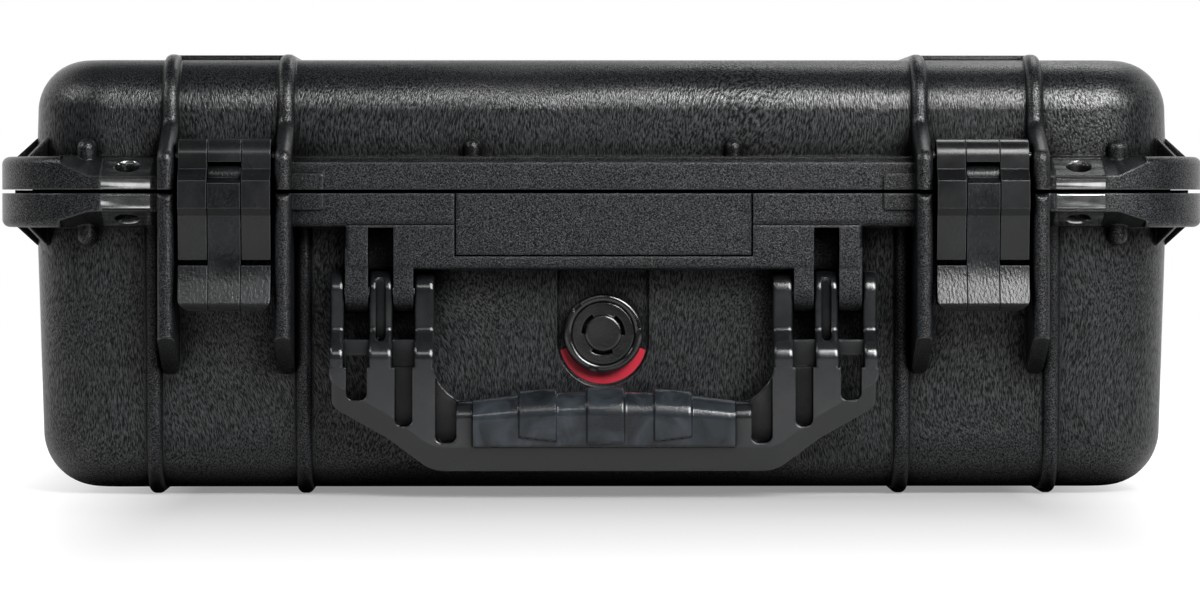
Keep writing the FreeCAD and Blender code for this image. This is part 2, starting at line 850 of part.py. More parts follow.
def make_lid_shell():
    outer = tub(top_skin, lid_face, 0, lid_edge_radius)
    rim = flange(lid_face, 1, lid_flange_height, lid_lock_face)
    step_half = latch_centre - rib_place
    step = block(
        (-step_half, step_half),
        (flange_front - overrun, flange_front + ridge_depth),
        (lid_face + ridge_height, lid_flange_top + overrun),
    )
    rim = rim.cut(step)
    forms = [rim]
    forms += both_sides([lid_hoop(latch_centre - rib_place), lid_hoop(latch_centre + rib_place)])
    forms += both_sides(stack_pad())
    gussets = [
        gusset(mid_gusset_place, mid_gusset_radius, lid_face, 1, lid_flange_height),
        gusset(end_gusset_place, end_gusset_radius, lid_face, 1, lid_flange_height),
    ]
    forms += both_sides(gussets)
    forms += corner_fins(lid_face, 1, lid_flange_height)
    forms += both_sides([rim_tab(lid_face, 1)])
    forms += knuckles(True)
    shell = outer.fuse(forms)
    cavity = tub(top_skin - wall, lid_face - overrun, wall, lid_edge_radius - wall)
    groove = tongue_ring(groove_play, lid_face - overrun, lid_face + groove_depth)
    pivot_hole = rod_x(pivot_y, pivot_z, latch_pivot_radius + pin_play, *pivot_pin_span(touch))
    tools = [cavity, groove]
    tools += both_sides([lock_hole(lock_hole_play), hinge_hole(), pivot_hole])
    tools += knuckle_room(True)
    return single(shell.cut(tools))


# Hinge pins, seal and padlock plates

def make_hinge_pin():
    start, end = hinge_ends()
    return rod_x(hinge_y, parting_height, hinge_pin_radius, start, end)


def make_lid_seal():
    """One ring in the bottom of the lid groove."""
    top = lid_face + groove_depth - seal_play
    return single(tongue_ring(groove_play - seal_play, top - seal_height, top))


def make_lock_plate(face, side, flange_height, face_height, play):
    return single(lock_plate(face, side, flange_height, face_height).cut(lock_hole(play)))


# Latches

def pivot_pin_span(play):
    """The latch pin reaches into both lid ribs."""
    reach = bay_half + rib_width - rib_edge_radius + play
    return latch_centre - reach, latch_centre + reach


def strip_profile():
    crest = latch_face - latch_crest
    crest_top = parting_height + latch_crest_top
    crest_bottom = parting_height - latch_crest_bottom
    return [
        (latch_back, strip_end, latch_end_radius),
        (latch_back, pivot_z + latch_barrel_radius, latch_barrel_radius - touch),
        (latch_face, pivot_z + latch_barrel_radius, latch_barrel_radius - touch),
        (latch_face, crest_top + latch_slope, 0),
        (crest, crest_top, 0),
        (crest, crest_bottom, 0),
        (latch_face - latch_heel, crest_bottom - latch_heel_slope, 0),
        (latch_face - latch_toe, strip_end, 0),
    ]


def front_lines(form, half, bottom, top):
    """Cutters for two fine upright lines in the front of a latch form, each side of its middle."""
    inside = form.translated(Vector(0, lever_line_depth, 0))
    cutters = []
    for side in (-1, 1):
        middle = latch_centre + side * half
        slit = block(
            (middle - lever_line_width / 2, middle + lever_line_width / 2),
            (rib_crest - latch_crest, bay_front),
            (bottom, top),
        )
        cutters.append(slit.cut(inside))
    return cutters


def make_latch_body():
    """Two strips joined by a bridge under the round top; the lever swings between them."""
    form = across(strip_profile(), latch_centre - latch_half, latch_centre + latch_half)
    slot_half = stem_width / 2 + stem_gap
    slot_top = lever_pivot_z + lever_barrel_radius + lever_bridge_gap
    slot = block(
        (latch_centre - slot_half, latch_centre + slot_half),
        (latch_back + overrun, latch_face - latch_crest - overrun),
        (strip_end - overrun, slot_top),
    )
    tools = [slot]
    for side in (-1, 1):
        inner = latch_centre + side * (slot_half + relief_wall)
        outer = latch_centre + side * (latch_half - relief_wall)
        relief = block(
            (inner, outer),
            (latch_back + overrun, latch_back - relief_depth),
            (strip_end + relief_wall, lever_pivot_z - lever_barrel_radius),
        )
        tools.append(relief)
    tools += front_lines(form, slot_half, strip_end, pivot_z + latch_barrel_radius)
    tools.append(rod_x(pivot_y, pivot_z, latch_pivot_radius + pin_play, *pivot_pin_span(0)))
    tools.append(rod_x(lever_pivot_y, lever_pivot_z, lever_pin_radius + pin_play, *lever_pin_span(touch)))
    return single(form.cut(tools))


def lever_pin_span(play):
    reach = latch_half - relief_wall + play
    return latch_centre - reach, latch_centre + reach


def lever_profile():
    crest = latch_face - latch_crest
    barrel_face = lever_pivot_y - lever_barrel_radius
    barrel_back = lever_pivot_y + lever_barrel_radius
    barrel_top = lever_pivot_z + lever_barrel_radius
    crest_top = parting_height + latch_crest_top
    crest_bottom = parting_height - latch_crest_bottom
    nose_top = base_flange_bottom - nose_drop
    nose_y = bay_front - nose_gap
    stem_back = latch_face + lever_stem_depth
    bar_face = latch_face - latch_toe
    flare = latch_face - lever_flare
    return [
        (barrel_back, barrel_top, lever_barrel_radius - touch),
        (barrel_face, barrel_top, lever_barrel_radius - touch),
        (barrel_face, lever_pivot_z - lever_face_drop, 0),
        (crest, crest_top - lever_crest_drop, 0),
        (crest, crest_bottom, 0),
        (latch_face - latch_heel, crest_bottom - latch_heel_slope, 0),
        (bar_face, lever_bar_top, lever_bar_sweep),
        (flare, lever_bottom + lever_lip_height, lever_bar_edge),
        (bar_face, lever_bottom, 0),
        (bar_face + lever_bar_thickness - lever_lip_height, lever_bottom, lever_bar_edge),
        (bar_face + lever_bar_thickness, lever_bar_top, 0),
        (stem_back, nose_top - nose_height, 0),
        (nose_y, nose_top - nose_height / 2, 0),
        (nose_y, nose_top, 0),
        (stem_back, nose_top, 0),
        (barrel_back, lever_pivot_z - lever_barrel_radius, 0),
    ]


def make_latch_lever():
    """T-shaped lever: a stem between the strips and a wide bar below them."""
    solid = across(lever_profile(), latch_centre - latch_half, latch_centre + latch_half)
    half_stem = stem_width / 2
    top = lever_pivot_z + lever_barrel_radius + overrun
    outline = [
        (latch_centre - half_stem, top, 0),
        (latch_centre - half_stem, lever_bar_top, 0),
        (latch_centre - latch_half, lever_bar_top, 0),
        (latch_centre - latch_half, lever_bottom, lever_bar_corner),
        (latch_centre + latch_half, lever_bottom, lever_bar_corner),
        (latch_centre + latch_half, lever_bar_top, 0),
        (latch_centre + half_stem, lever_bar_top, 0),
        (latch_centre + half_stem, top, 0),
    ]
    tee = outward(outline, rib_crest - latch_crest, bay_front)
    hole = rod_x(lever_pivot_y, lever_pivot_z, lever_pin_radius + pin_play, *lever_pin_span(overrun))
    lines = front_lines(solid, half_stem, lever_bottom, lever_bar_top)
    return single(solid.common(tee).cut([hole] + lines))


def make_pivot_pin():
    return rod_x(pivot_y, pivot_z, latch_pivot_radius, *pivot_pin_span(0))


def make_lever_pin():
    return rod_x(lever_pivot_y, lever_pivot_z, lever_pin_radius, *lever_pin_span(0))


# Handle

def finger(outer_edge, width):
    """One finger of a handle arm, round about the pin and stepped forward at its root."""
    head_top = handle_pin_z + handle_head_radius
    head_front = handle_pin_y - handle_head_radius
    head_back = handle_pin_y + handle_head_radius
    corners = [
        (head_back, head_top, handle_head_radius - touch),
        (head_front, head_top, handle_head_radius - touch),
        (head_front, handle_level("finger_step_top"), pocket_radius),
        (handle_face, handle_level("finger_step_bottom"), finger_step_radius),
        (handle_face, handle_level("finger_root"), 0),
        (handle_back, handle_level("finger_root"), 0),
        (handle_back, handle_level("finger_back_bottom"), 0),
        (head_back, handle_level("finger_back_top"), 0),
    ]
    form = across(corners, outer_edge - width, outer_edge)
    root = handle_level("finger_root")
    chosen = []
    for edge in flank_edges(form, [outer_edge - width, outer_edge]):
        box = edge.BoundBox
        if box.YMax < handle_pin_y + touch and box.ZMax > root + touch:
            chosen.append(edge)
    return form.makeFillet(finger_edge_radius, chosen)


def bow_corners(bevelled):
    """Front outline of the arms and crossbar; the bevelled one is the smaller front face."""
    lift = bevel_share * handle_rise if bevelled else 0
    half = handle_half_width
    left = [
        (half, handle_level("finger_root") + bite, 0),
        (half, handle_level("shoulder") + lift, shoulder_radius),
        (knee_place, handle_level("knee") + lift, knee_radius),
        (bow_place, handle_bottom + lift, bow_radius),
    ]
    right = [(-x, z, radius) for x, z, radius in reversed(left)]
    inner = [
        (-arm_inner_edge, handle_level("finger_root") + bite, 0),
        (-arm_inner_edge, handle_level("brace_top"), brace_radius),
        (-brace_foot, handle_level("bar_top"), brace_radius),
        (brace_foot, handle_level("bar_top"), brace_radius),
        (arm_inner_edge, handle_level("brace_top"), brace_radius),
        (arm_inner_edge, handle_level("finger_root") + bite, 0),
    ]
    return left + right + inner


def pocket(inner_edge, outer_edge, bottom, top, start, end):
    """Upright pocket with a rounded lower end."""
    radius = min(pocket_radius, (outer_edge - inner_edge) / 2 - touch)
    outline = [
        (inner_edge, top, 0),
        (inner_edge, bottom, radius),
        (outer_edge, bottom, radius),
        (outer_edge, top, 0),
    ]
    return outward(outline, start, end)


def make_handle_frame():
    bevel_wires = [
        rounded_wire(bow_corners(True), lambda u, v: Vector(u, handle_face, v)),
        rounded_wire(bow_corners(False), lambda u, v: Vector(u, handle_face + bevel_depth, v)),
    ]
    bevelled = Part.makeLoft(bevel_wires, True, True)
    body = outward(bow_corners(False), handle_face + bevel_depth, handle_back)
    forms = both_sides([
        finger(handle_half_width, outer_finger_width),
        finger(middle_finger_edge, middle_finger_width),
        finger(inner_finger_edge, inner_finger_width),
        block((middle_finger_edge - bite, handle_half_width - bite),
              (handle_face + web_front, handle_face + web_front + web_thickness),
              (handle_level("finger_root"), handle_level("web_top"))),
        block((inner_finger_edge - bite, middle_finger_edge - bite),
              (handle_face + web_front, handle_face + web_front + web_thickness),
              (handle_level("finger_root"), handle_level("web_top"))),
    ])
    frame = bevelled.fuse([body] + forms)
    cut_front = handle_face - overrun
    outer_pocket = pocket(middle_finger_edge + pocket_side, outer_lug_edge - pocket_side,
                          handle_level("outer_pocket_bottom"), handle_level("outer_pocket_top"),
                          cut_front, handle_back + overrun)
    inner_pocket = pocket(inner_finger_edge + pocket_side, inner_lug_edge - pocket_side,
                          handle_level("inner_pocket_bottom"), handle_level("web_top") + overrun,
                          cut_front, handle_face + inner_pocket_depth)
    brace_pocket = outward([
        (brace_foot, handle_level("brace_pocket_top") - pocket_radius, 0),
        (brace_foot, handle_level("brace_pocket_bottom"), pocket_radius),
        (arm_inner_edge - pocket_side, handle_level("brace_pocket_bottom"), pocket_radius),
        (arm_inner_edge - pocket_side, handle_level("brace_top"), 0),
    ], cut_front, handle_face + brace_pocket_depth)
    groove_middle = middle_finger_edge - middle_finger_width / 2
    groove = outward([
        (groove_middle - groove_half_width, handle_level("groove_bottom"), groove_half_width - touch),
        (groove_middle + groove_half_width, handle_level("groove_bottom"), groove_half_width - touch),
        (groove_middle + groove_half_width, handle_level("groove_top"), groove_half_width - touch),
        (groove_middle - groove_half_width, handle_level("groove_top"), groove_half_width - touch),
    ], cut_front, handle_pin_y - handle_head_radius + groove_cut)
    pin_hole = rod_x(handle_pin_y, handle_pin_z, handle_pin_radius + pin_play,
                     arm_inner_edge - overrun, handle_half_width + overrun)
    tools = both_sides([outer_pocket, inner_pocket, brace_pocket, groove, pin_hole])
    collar_y = handle_face + collar_radius
    collar_z = handle_level("bar_top") - collar_radius
    corner = block((-brace_foot, brace_foot), (cut_front, collar_y),
                   (collar_z, handle_level("bar_top") + overrun))
    tools.append(corner.cut(rod_x(collar_y, collar_z, collar_radius, -brace_foot, brace_foot)))
    seat = block((-grip_half_length, grip_half_length), (cut_front, handle_back + overrun),
                 (handle_level("grip_bottom"), handle_level("bar_top") + overrun))
    tools.append(seat.cut(grip_core()))
    return single(frame.cut(tools))


def grip_core():
    corners = [
        (handle_face + core_front, handle_level("grip_bottom") - overrun, 0),
        (handle_back - core_back, handle_level("grip_bottom") - overrun, 0),
        (handle_back - core_back, handle_level("core_top"), core_radius),
        (handle_face + core_front, handle_level("core_top"), core_radius),
    ]
    return across(corners, -grip_half_length - overrun, grip_half_length + overrun)


def make_handle_grip():
    """Soft sleeve over the crossbar core with three raised pads in front."""
    front_y = handle_face - grip_front
    back_y = handle_back + grip_back
    corners = [
        (front_y, handle_level("grip_bottom"), grip_heel_radius),
        (back_y, handle_level("grip_bottom"), grip_heel_radius),
        (back_y, handle_level("grip_top"), grip_edge_radius),
        (front_y, handle_level("grip_top"), grip_edge_radius),
    ]
    sleeve = across(corners, -grip_half_length, grip_half_length)
    pads = []
    for place in (-1, 0, 1):
        middle = place * grip_pad_pitch_share * grip_half_length
        outline = [
            (middle - grip_pad_half_width, handle_level("grip_pad_bottom"), grip_pad_radius),
            (middle + grip_pad_half_width, handle_level("grip_pad_bottom"), grip_pad_radius),
            (middle + grip_pad_half_width, handle_level("grip_pad_top"), grip_pad_radius),
            (middle - grip_pad_half_width, handle_level("grip_pad_top"), grip_pad_radius),
        ]
        pads.append(outward(outline, front_y - grip_pad_stand, handle_face))
    return single(sleeve.fuse(pads).cut(grip_core()))


def make_handle_pin():
    return rod_x(handle_pin_y, handle_pin_z, handle_pin_radius,
                 arm_inner_edge + swing_gap, handle_half_width - swing_gap)


# Vent valve

def sector_ring(outer_radius, inner_radius, start_angle, angle, start, end):
    """Part of a ring about the valve axis, between two angles seen from the front."""
    outer = rod_y(0, valve_height, outer_radius, start, end)
    inner = rod_y(0, valve_height, inner_radius, start - overrun, end + overrun)
    ring = outer.cut(inner)
    reach = outer_radius * 2
    first = math.radians(start_angle)
    last = math.radians(start_angle + angle)
    middle = (first + last) / 2
    corners = [
        (0, valve_height, 0),
        (reach * math.cos(first), valve_height + reach * math.sin(first), 0),
        (reach * math.cos(middle), valve_height + reach * math.sin(middle), 0),
        (reach * math.cos(last), valve_height + reach * math.sin(last), 0),
    ]
    return ring.common(outward(corners, start - overrun, end + overrun))


def make_valve_body():
    """Flange with a raised outer ring, and a threaded stem through the wall."""
    back = valve_seat_y()
    ring_front = back - valve_ring_stand
    floor_front = back - valve_floor
    flange_disc = rod_y(0, valve_height, valve_ring_radius, ring_front, back)
    room = rod_y(0, valve_height, valve_ring_radius - valve_ring_width, ring_front - overrun, floor_front)
    form = flange_disc.cut(room)
    form = form.makeFillet(valve_ring_edge, face_edges(form, ring_front))
    inside = back + wall + valve_stem_inside
    form = form.fuse(rod_y(0, valve_height, valve_stem_radius, floor_front, inside))
    form = form.cut(rod_y(0, valve_height, valve_bore_radius, floor_front - overrun, inside + overrun))
    notches = []
    for start_angle in valve_notch_start_angles:
        notches.append(sector_ring(
            valve_ring_radius + overrun, valve_ring_radius - valve_ring_width / 2,
            start_angle, valve_notch_angle, ring_front - overrun, ring_front + valve_notch_depth))
    return single(form.cut(notches))


def make_valve_cap():
    """Disc inside the ring with a round centre boss and three arc slots."""
    back = valve_seat_y() - valve_floor
    front_y = valve_seat_y() - valve_cap_stand
    disc = rod_y(0, valve_height, valve_cap_radius, front_y, back)
    boss_front = valve_seat_y() - valve_boss_stand
    boss = rod_y(0, valve_height, valve_boss_radius, boss_front, back)
    boss = boss.makeFillet(valve_boss_edge, face_edges(boss, boss_front))
    form = disc.fuse(boss)
    slots = []
    for start_angle in valve_slot_start_angles:
        slots.append(sector_ring(
            valve_boss_radius + valve_slot_width, valve_boss_radius,
            start_angle, valve_slot_angle, front_y - overrun, front_y + valve_slot_depth))
    return single(form.cut(slots))


def make_valve_gasket():
    inside = inner_wall_y()
    ring = rod_y(0, valve_height, valve_stem_radius + pin_play + valve_gasket_width,
                 inside, inside + valve_gasket_thickness)
    hole = rod_y(0, valve_height, valve_stem_radius + pin_play, inside, inside + valve_gasket_thickness)
    return single(ring.cut(hole))


def inner_wall_y():
    """Inner face of the front wall at the bottom of the nut, where it stands furthest in."""
    return skin_y(valve_height - valve_nut_radius) + wall


def make_valve_nut():
    """Plain nut that holds the valve from inside."""
    start = inner_wall_y() + valve_gasket_thickness
    end = start + valve_nut_thickness
    corners = []
    for step in range(valve_nut_sides):
        angle = step * math.tau / valve_nut_sides
        x = valve_nut_radius * math.cos(angle)
        z = valve_height + valve_nut_radius * math.sin(angle)
        corners.append((x, z, 0))
    hole = rod_y(0, valve_height, valve_stem_radius + pin_play, start - overrun, end + overrun)
    return single(outward(corners, start, end).cut(hole))


def make_valve_membrane():
    start = valve_seat_y() + valve_membrane_depth
    return rod_y(0, valve_height, valve_bore_radius, start, start + valve_membrane_thickness)


def make_valve_label():
    """Crescent under the ring."""
    back = valve_seat_y()
    start = back - label_thickness
    disc = rod_y(0, valve_height - label_drop, label_radius, start, back)
    hole = rod_y(0, valve_height, valve_ring_radius + label_gap, start - overrun, back + overrun)
    reach = label_radius * 2
    side = math.radians(label_half_angle)
    wedge = outward([
        (0, valve_height, 0),
        (reach * math.sin(side), valve_height - reach * math.cos(side), 0),
        (reach * math.sin(side), valve_height - reach * 2, 0),
        (-reach * math.sin(side), valve_height - reach * 2, 0),
        (-reach * math.sin(side), valve_height - reach * math.cos(side), 0),
    ], start - overrun, back + overrun)
    return single(disc.cut(hole).common(wedge))


# Foam

def base_foam_block():
    """All of the base filling, inset from the cavity."""
    start = bottom_skin + wall + foam_layer_gap
    return tub(start, parting_height, wall + foam_gap, base_edge_radius - wall + foam_gap)


def base_foam_levels():
    """Lower and upper end of the pad and of the two layers that fill the rest of the base."""
    pad_start = bottom_skin + wall + foam_layer_gap
    pad_end = pad_start + foam_pad_thickness
    lower_start = pad_end + foam_layer_gap
    upper_end = parting_height - foam_top_drop
    thickness = (upper_end - lower_start - foam_layer_gap) / 2
    lower_end = lower_start + thickness
    return (pad_start, pad_end), (lower_start, lower_end), (lower_end + foam_layer_gap, upper_end)


def valve_foam_notch():
    """Room in the foam for the valve nut behind the front wall."""
    radius = valve_nut_radius + foam_gap * 2
    end = valve_seat_y() + wall + valve_stem_inside + foam_gap * 2
    return rod_y(0, valve_height, radius, front, end)


def foam_layer(levels, plucked):
    start, end = levels
    span = flange_half_length
    layer = base_foam_block().common(block((-span, span), (-span, span), (start, end)))
    if plucked:
        half_x = pocket_long_count * foam_cell / 2
        half_y = pocket_wide_count * foam_cell / 2
        room = block((-half_x, half_x), (-half_y, half_y), (start - overrun, end + overrun))
        layer = layer.cut([room, valve_foam_notch()])
    return single(layer)


def make_lid_foam():
    top = top_skin - wall - foam_layer_gap
    filling = tub(top, lid_face, wall + foam_gap, lid_edge_radius - wall + foam_gap)
    span = flange_half_length
    return single(filling.common(block((-span, span), (-span, span), (lid_face + lid_foam_rise, top))))


# Writing

def write(name, shape):
    shape.exportStep("parts/" + name + ".step")


def write_pair(name, shape):
    write(name + "_right", shape)
    write(name + "_left", mirrored(shape))


def main():
    os.makedirs("parts", exist_ok=True)
    write("base_shell", make_base_shell())
    write("lid_shell", make_lid_shell())
    write("lid_seal", make_lid_seal())
    write_pair("hinge_pin", make_hinge_pin())
    lid_plate = make_lock_plate(lid_face, 1, lid_flange_height, lid_lock_face, lock_hole_play)
    write_pair("lid_lock_plate", lid_plate)
    base_plate = make_lock_plate(base_face, -1, base_flange_height, base_lock_face, 0)
    write_pair("base_lock_plate", base_plate)
    write_pair("latch_body", make_latch_body())
    write_pair("latch_lever", make_latch_lever())
    write_pair("latch_pivot_pin", make_pivot_pin())
    write_pair("latch_lever_pin", make_lever_pin())
    write("handle_frame", make_handle_frame())
    write("handle_grip", make_handle_grip())
    write_pair("handle_pin", make_handle_pin())
    write("valve_body", make_valve_body())
    write("valve_cap", make_valve_cap())
    write("valve_gasket", make_valve_gasket())
    write("valve_nut", make_valve_nut())
    write("valve_membrane", make_valve_membrane())
    write("valve_label", make_valve_label())
    pad_levels, lower_levels, upper_levels = base_foam_levels()
    write("base_foam_pad", foam_layer(pad_levels, False))
    write("base_foam_lower", foam_layer(lower_levels, True))
    write("base_foam_upper", foam_layer(upper_levels, True))
    write("lid_foam", make_lid_foam())


if __name__ == "__main__":
    main()
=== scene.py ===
"""Looks of a moulded protective hard case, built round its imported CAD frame.

The rigid nodes of the frame keep their shapes and get finishes here. The soft ones, which are the
foam set, the lid seal, the valve gasket and the handle grip, are replaced by formed pieces.
Lengths of finishes and pieces are millimetres, those of the studio are metres. Meshes are in metres,
in the frame's own axes: X to the right, the front of the case faces -Y, Z is up, the floor is at zero.
"""
import logging
import math
from dataclasses import dataclass
from enum import Enum
from typing import Any, Mapping, Sequence

import bmesh
import bpy
import numpy as np
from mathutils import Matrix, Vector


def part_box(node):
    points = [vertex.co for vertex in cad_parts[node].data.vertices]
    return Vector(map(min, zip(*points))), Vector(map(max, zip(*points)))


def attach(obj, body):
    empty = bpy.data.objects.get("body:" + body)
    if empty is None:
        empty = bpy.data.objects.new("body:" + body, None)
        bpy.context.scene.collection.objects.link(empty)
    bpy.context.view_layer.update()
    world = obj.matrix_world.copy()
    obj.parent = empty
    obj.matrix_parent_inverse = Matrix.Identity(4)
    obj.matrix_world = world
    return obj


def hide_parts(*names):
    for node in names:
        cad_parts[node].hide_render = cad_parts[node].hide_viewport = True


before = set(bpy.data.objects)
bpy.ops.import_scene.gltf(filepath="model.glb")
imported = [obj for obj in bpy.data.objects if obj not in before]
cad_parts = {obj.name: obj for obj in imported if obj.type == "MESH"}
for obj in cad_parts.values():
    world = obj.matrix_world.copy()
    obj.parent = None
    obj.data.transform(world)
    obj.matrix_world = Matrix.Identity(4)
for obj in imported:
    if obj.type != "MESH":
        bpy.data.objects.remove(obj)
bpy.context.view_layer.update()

Object = bpy.types.Object
Material = bpy.types.Material
Node = bpy.types.Node
Socket = bpy.types.NodeSocket
Source = Any                     # a value, a node, which means its first output, or an output socket
Array = np.ndarray
Surface = tuple[Array, Array]    # points and quads
Arrays = tuple[Array, ...]
Pair = tuple[float, float]
Triple = tuple[float, float, float]
Feeds = dict[str, Source]        # shader sockets and what feeds them

LOG = logging.getLogger("hard_case")
MM = 0.001
PARTING = 118.4          # height of the plane between base and lid
DRAFT = math.tan(math.radians(1.6))
MERGE_DISTANCE = 0.01
SHORTEST_EDGE = 0.005
SHADING_SAMPLES = 4
EDGE_TURN = (0.995, 0.88)        # cosines of the turn where a lighter edge, wear and painted highlight, begins and is full
OPENNESS = (0.4, 0.9)            # unoccluded shares that count as the depth of a slot and as open, for the painted slot shade
# colour of the painted shade deep in slots
PAINTED_SLOT_SHADE = "#040404"
NOISE_SPAN = {1: 0.3, 2: 0.7}    # Map Range sockets for a noise, most of which lies between these
ORIGIN = (0.0, 0.0, 0.0)
WHITE = (1.0, 1.0, 1.0, 1.0)


class Body(Enum):
    """Moving bodies of the frame that new pieces ride on."""

    BASE = "case_base"
    LID = "lid"
    HANDLE = "handle"


# Colour and nodes

def linear(hex_colour: str) -> tuple[float, float, float, float]:
    """Turn an sRGB hex colour into the linear RGBA that shaders take.

    Args:
        hex_colour: six hex digits with a leading hash.

    Returns:
        Linear red, green and blue, with an alpha of 1.
    """
    channels = np.array([int(hex_colour[i:i + 2], 16) / 255 for i in (1, 3, 5)])
    low = channels / 12.92
    high = ((channels + 0.055) / 1.055) ** 2.4
    return (*np.where(channels <= 0.04045, low, high).tolist(), 1.0)


@dataclass
class Net:
    """Shader nodes of a material or a world."""

    owner: bpy.types.ID

    def __post_init__(self) -> None:
        """Start without nodes."""
        self.owner.use_nodes = True
        self.tree = self.owner.node_tree
        self.tree.nodes.clear()

    def add(self, kind: str, inputs: Mapping[Any, Source] | None = None, **settings: Any) -> Node:
        """Add one node with its settings, socket values and links.

        Args:
            kind: Blender's name of the node type, without its ShaderNode prefix.
            inputs: socket key to what feeds it.
            settings: attributes of the node itself.

        Returns:
            The new node.
        """
        made = self.tree.nodes.new("ShaderNode" + kind)
        for key, value in settings.items():
            setattr(made, key, value)
        for key, value in (inputs or {}).items():
            if isinstance(value, Node):
                value = value.outputs[0]
            if isinstance(value, Socket):
                self.tree.links.new(value, made.inputs[key])
            else:
                made.inputs[key].default_value = value
        return made

    def chain(self, start: Source, *steps: Sequence[Any], kind: str = "Math") -> Node:
        """Carry a value through a row of math nodes.

        Args:
            start: what feeds the first node.
            steps: operation of each node, and its second input where it has one.
            kind: Math, or VectorMath for vectors.

        Returns:
            The last node.
        """
        for operation, *others in steps:
            start = self.add(kind, {0: start, **dict(enumerate(others, 1))}, operation=operation)
        return start

    def length_above_zero(self, vector: Source) -> Socket:
        """Length of the part of a vector that is above zero on each axis."""
        return self.chain(vector, ("MAXIMUM", ORIGIN), ("LENGTH",), kind="VectorMath").outputs["Value"]

    def seen_directly(self) -> Node:
        """Make a factor of 1 for rays from the camera, in reflections and through glass."""
        rays = self.add("LightPath").outputs
        return self.chain(rays["Is Camera Ray"], ("MAXIMUM", rays["Is Glossy Ray"]),
                          ("MAXIMUM", rays["Is Transmission Ray"]))

    def two_tone(self, pattern: Source, span: Pair, first: str, second: str) -> tuple[Node, Socket]:
        """Colour a pattern: one colour below a span of its values, another above, a mix between.

        Args:
            pattern: the pattern's value.
            span: low and high end of the mix.
            first: hex colour below.
            second: hex colour above.

        Returns:
            The node whose first output is the second colour's share, and the socket of the colour.
        """
        share = self.add("MapRange", {"Value": pattern, 1: span[0], 2: span[1]})
        colour = self.add("Mix", {"Factor": share, 6: linear(first), 7: linear(second)}, data_type="RGBA")
        return share, colour.outputs[2]

    def rub_and_sheen_edges(self, radius: float, colour: Socket, edge_colour: str) -> tuple[Node, Node, Socket]:
        """Round the edges in the shading and give them a lighter colour: wear and a painted edge highlight.

        Args:
            radius: radius of the rounding in millimetres.
            colour: the colour between the edges.
            edge_colour: hex colour of the edges, partly wear and partly a painted edge highlight.

        Returns:
            The nodes of the rounded normal and of the edge's share, and the socket of the colour.
        """
        rounded = self.add("Bevel", {"Radius": radius * MM}, samples=SHADING_SAMPLES)
        face = self.add("NewGeometry").outputs["Normal"]
        turn = self.add("VectorMath", {0: rounded, 1: face}, operation="DOT_PRODUCT").outputs["Value"]
        edge = self.add("MapRange", {"Value": turn, 1: EDGE_TURN[0], 2: EDGE_TURN[1]})
        worn_and_sheened = self.add("Mix", {"Factor": edge, 6: colour, 7: linear(edge_colour)}, data_type="RGBA")
        return rounded, edge, worn_and_sheened.outputs[2]

    def paint_slot_shade(self, reach: float, colour: Socket, shine: Source) -> Feeds:
        """Painted shade: darken and dull what lies deep in a slot, where neighbours stand near.

        Args:
            reach: how far away a neighbour still counts, in millimetres.
            colour: the colour in the open.
            shine: the specular level in the open.

        Returns:
            What feeds the shader's colour and specular level.
        """
        seen = self.add("AmbientOcclusion", {"Distance": reach * MM}, samples=SHADING_SAMPLES)
        clear = self.add("MapRange", {"Value": seen.outputs["AO"], 1: OPENNESS[0], 2: OPENNESS[1]})
        shaded = self.add("Mix", {"Factor": clear, 6: linear(PAINTED_SLOT_SHADE), 7: colour}, data_type="RGBA")
        return {"Base Color": shaded.outputs[2], "Specular IOR Level": self.chain(clear, ("MULTIPLY", shine))}


# Finishes

@dataclass(frozen=True)
class Finish:
    """A material; each kind of finish says what feeds its principled shader."""

    name: str

    def feeds(self, net: Net, place: Socket) -> Feeds:
        """Build the patterns of the finish.

        Args:
            net: the material's nodes.
            place: object coordinates.

        Returns:
            Name of a shader socket to what feeds it.
        """
        raise NotImplementedError

    def build(self) -> Material:
        """Build the material: one principled shader with all that feeds it."""
        material = bpy.data.materials.new(self.name)
        net = Net(material)
        shader = net.add("BsdfPrincipled", self.feeds(net, net.add("TexCoord").outputs["Object"]))
        net.add("OutputMaterial", {"Surface": shader})
        return material


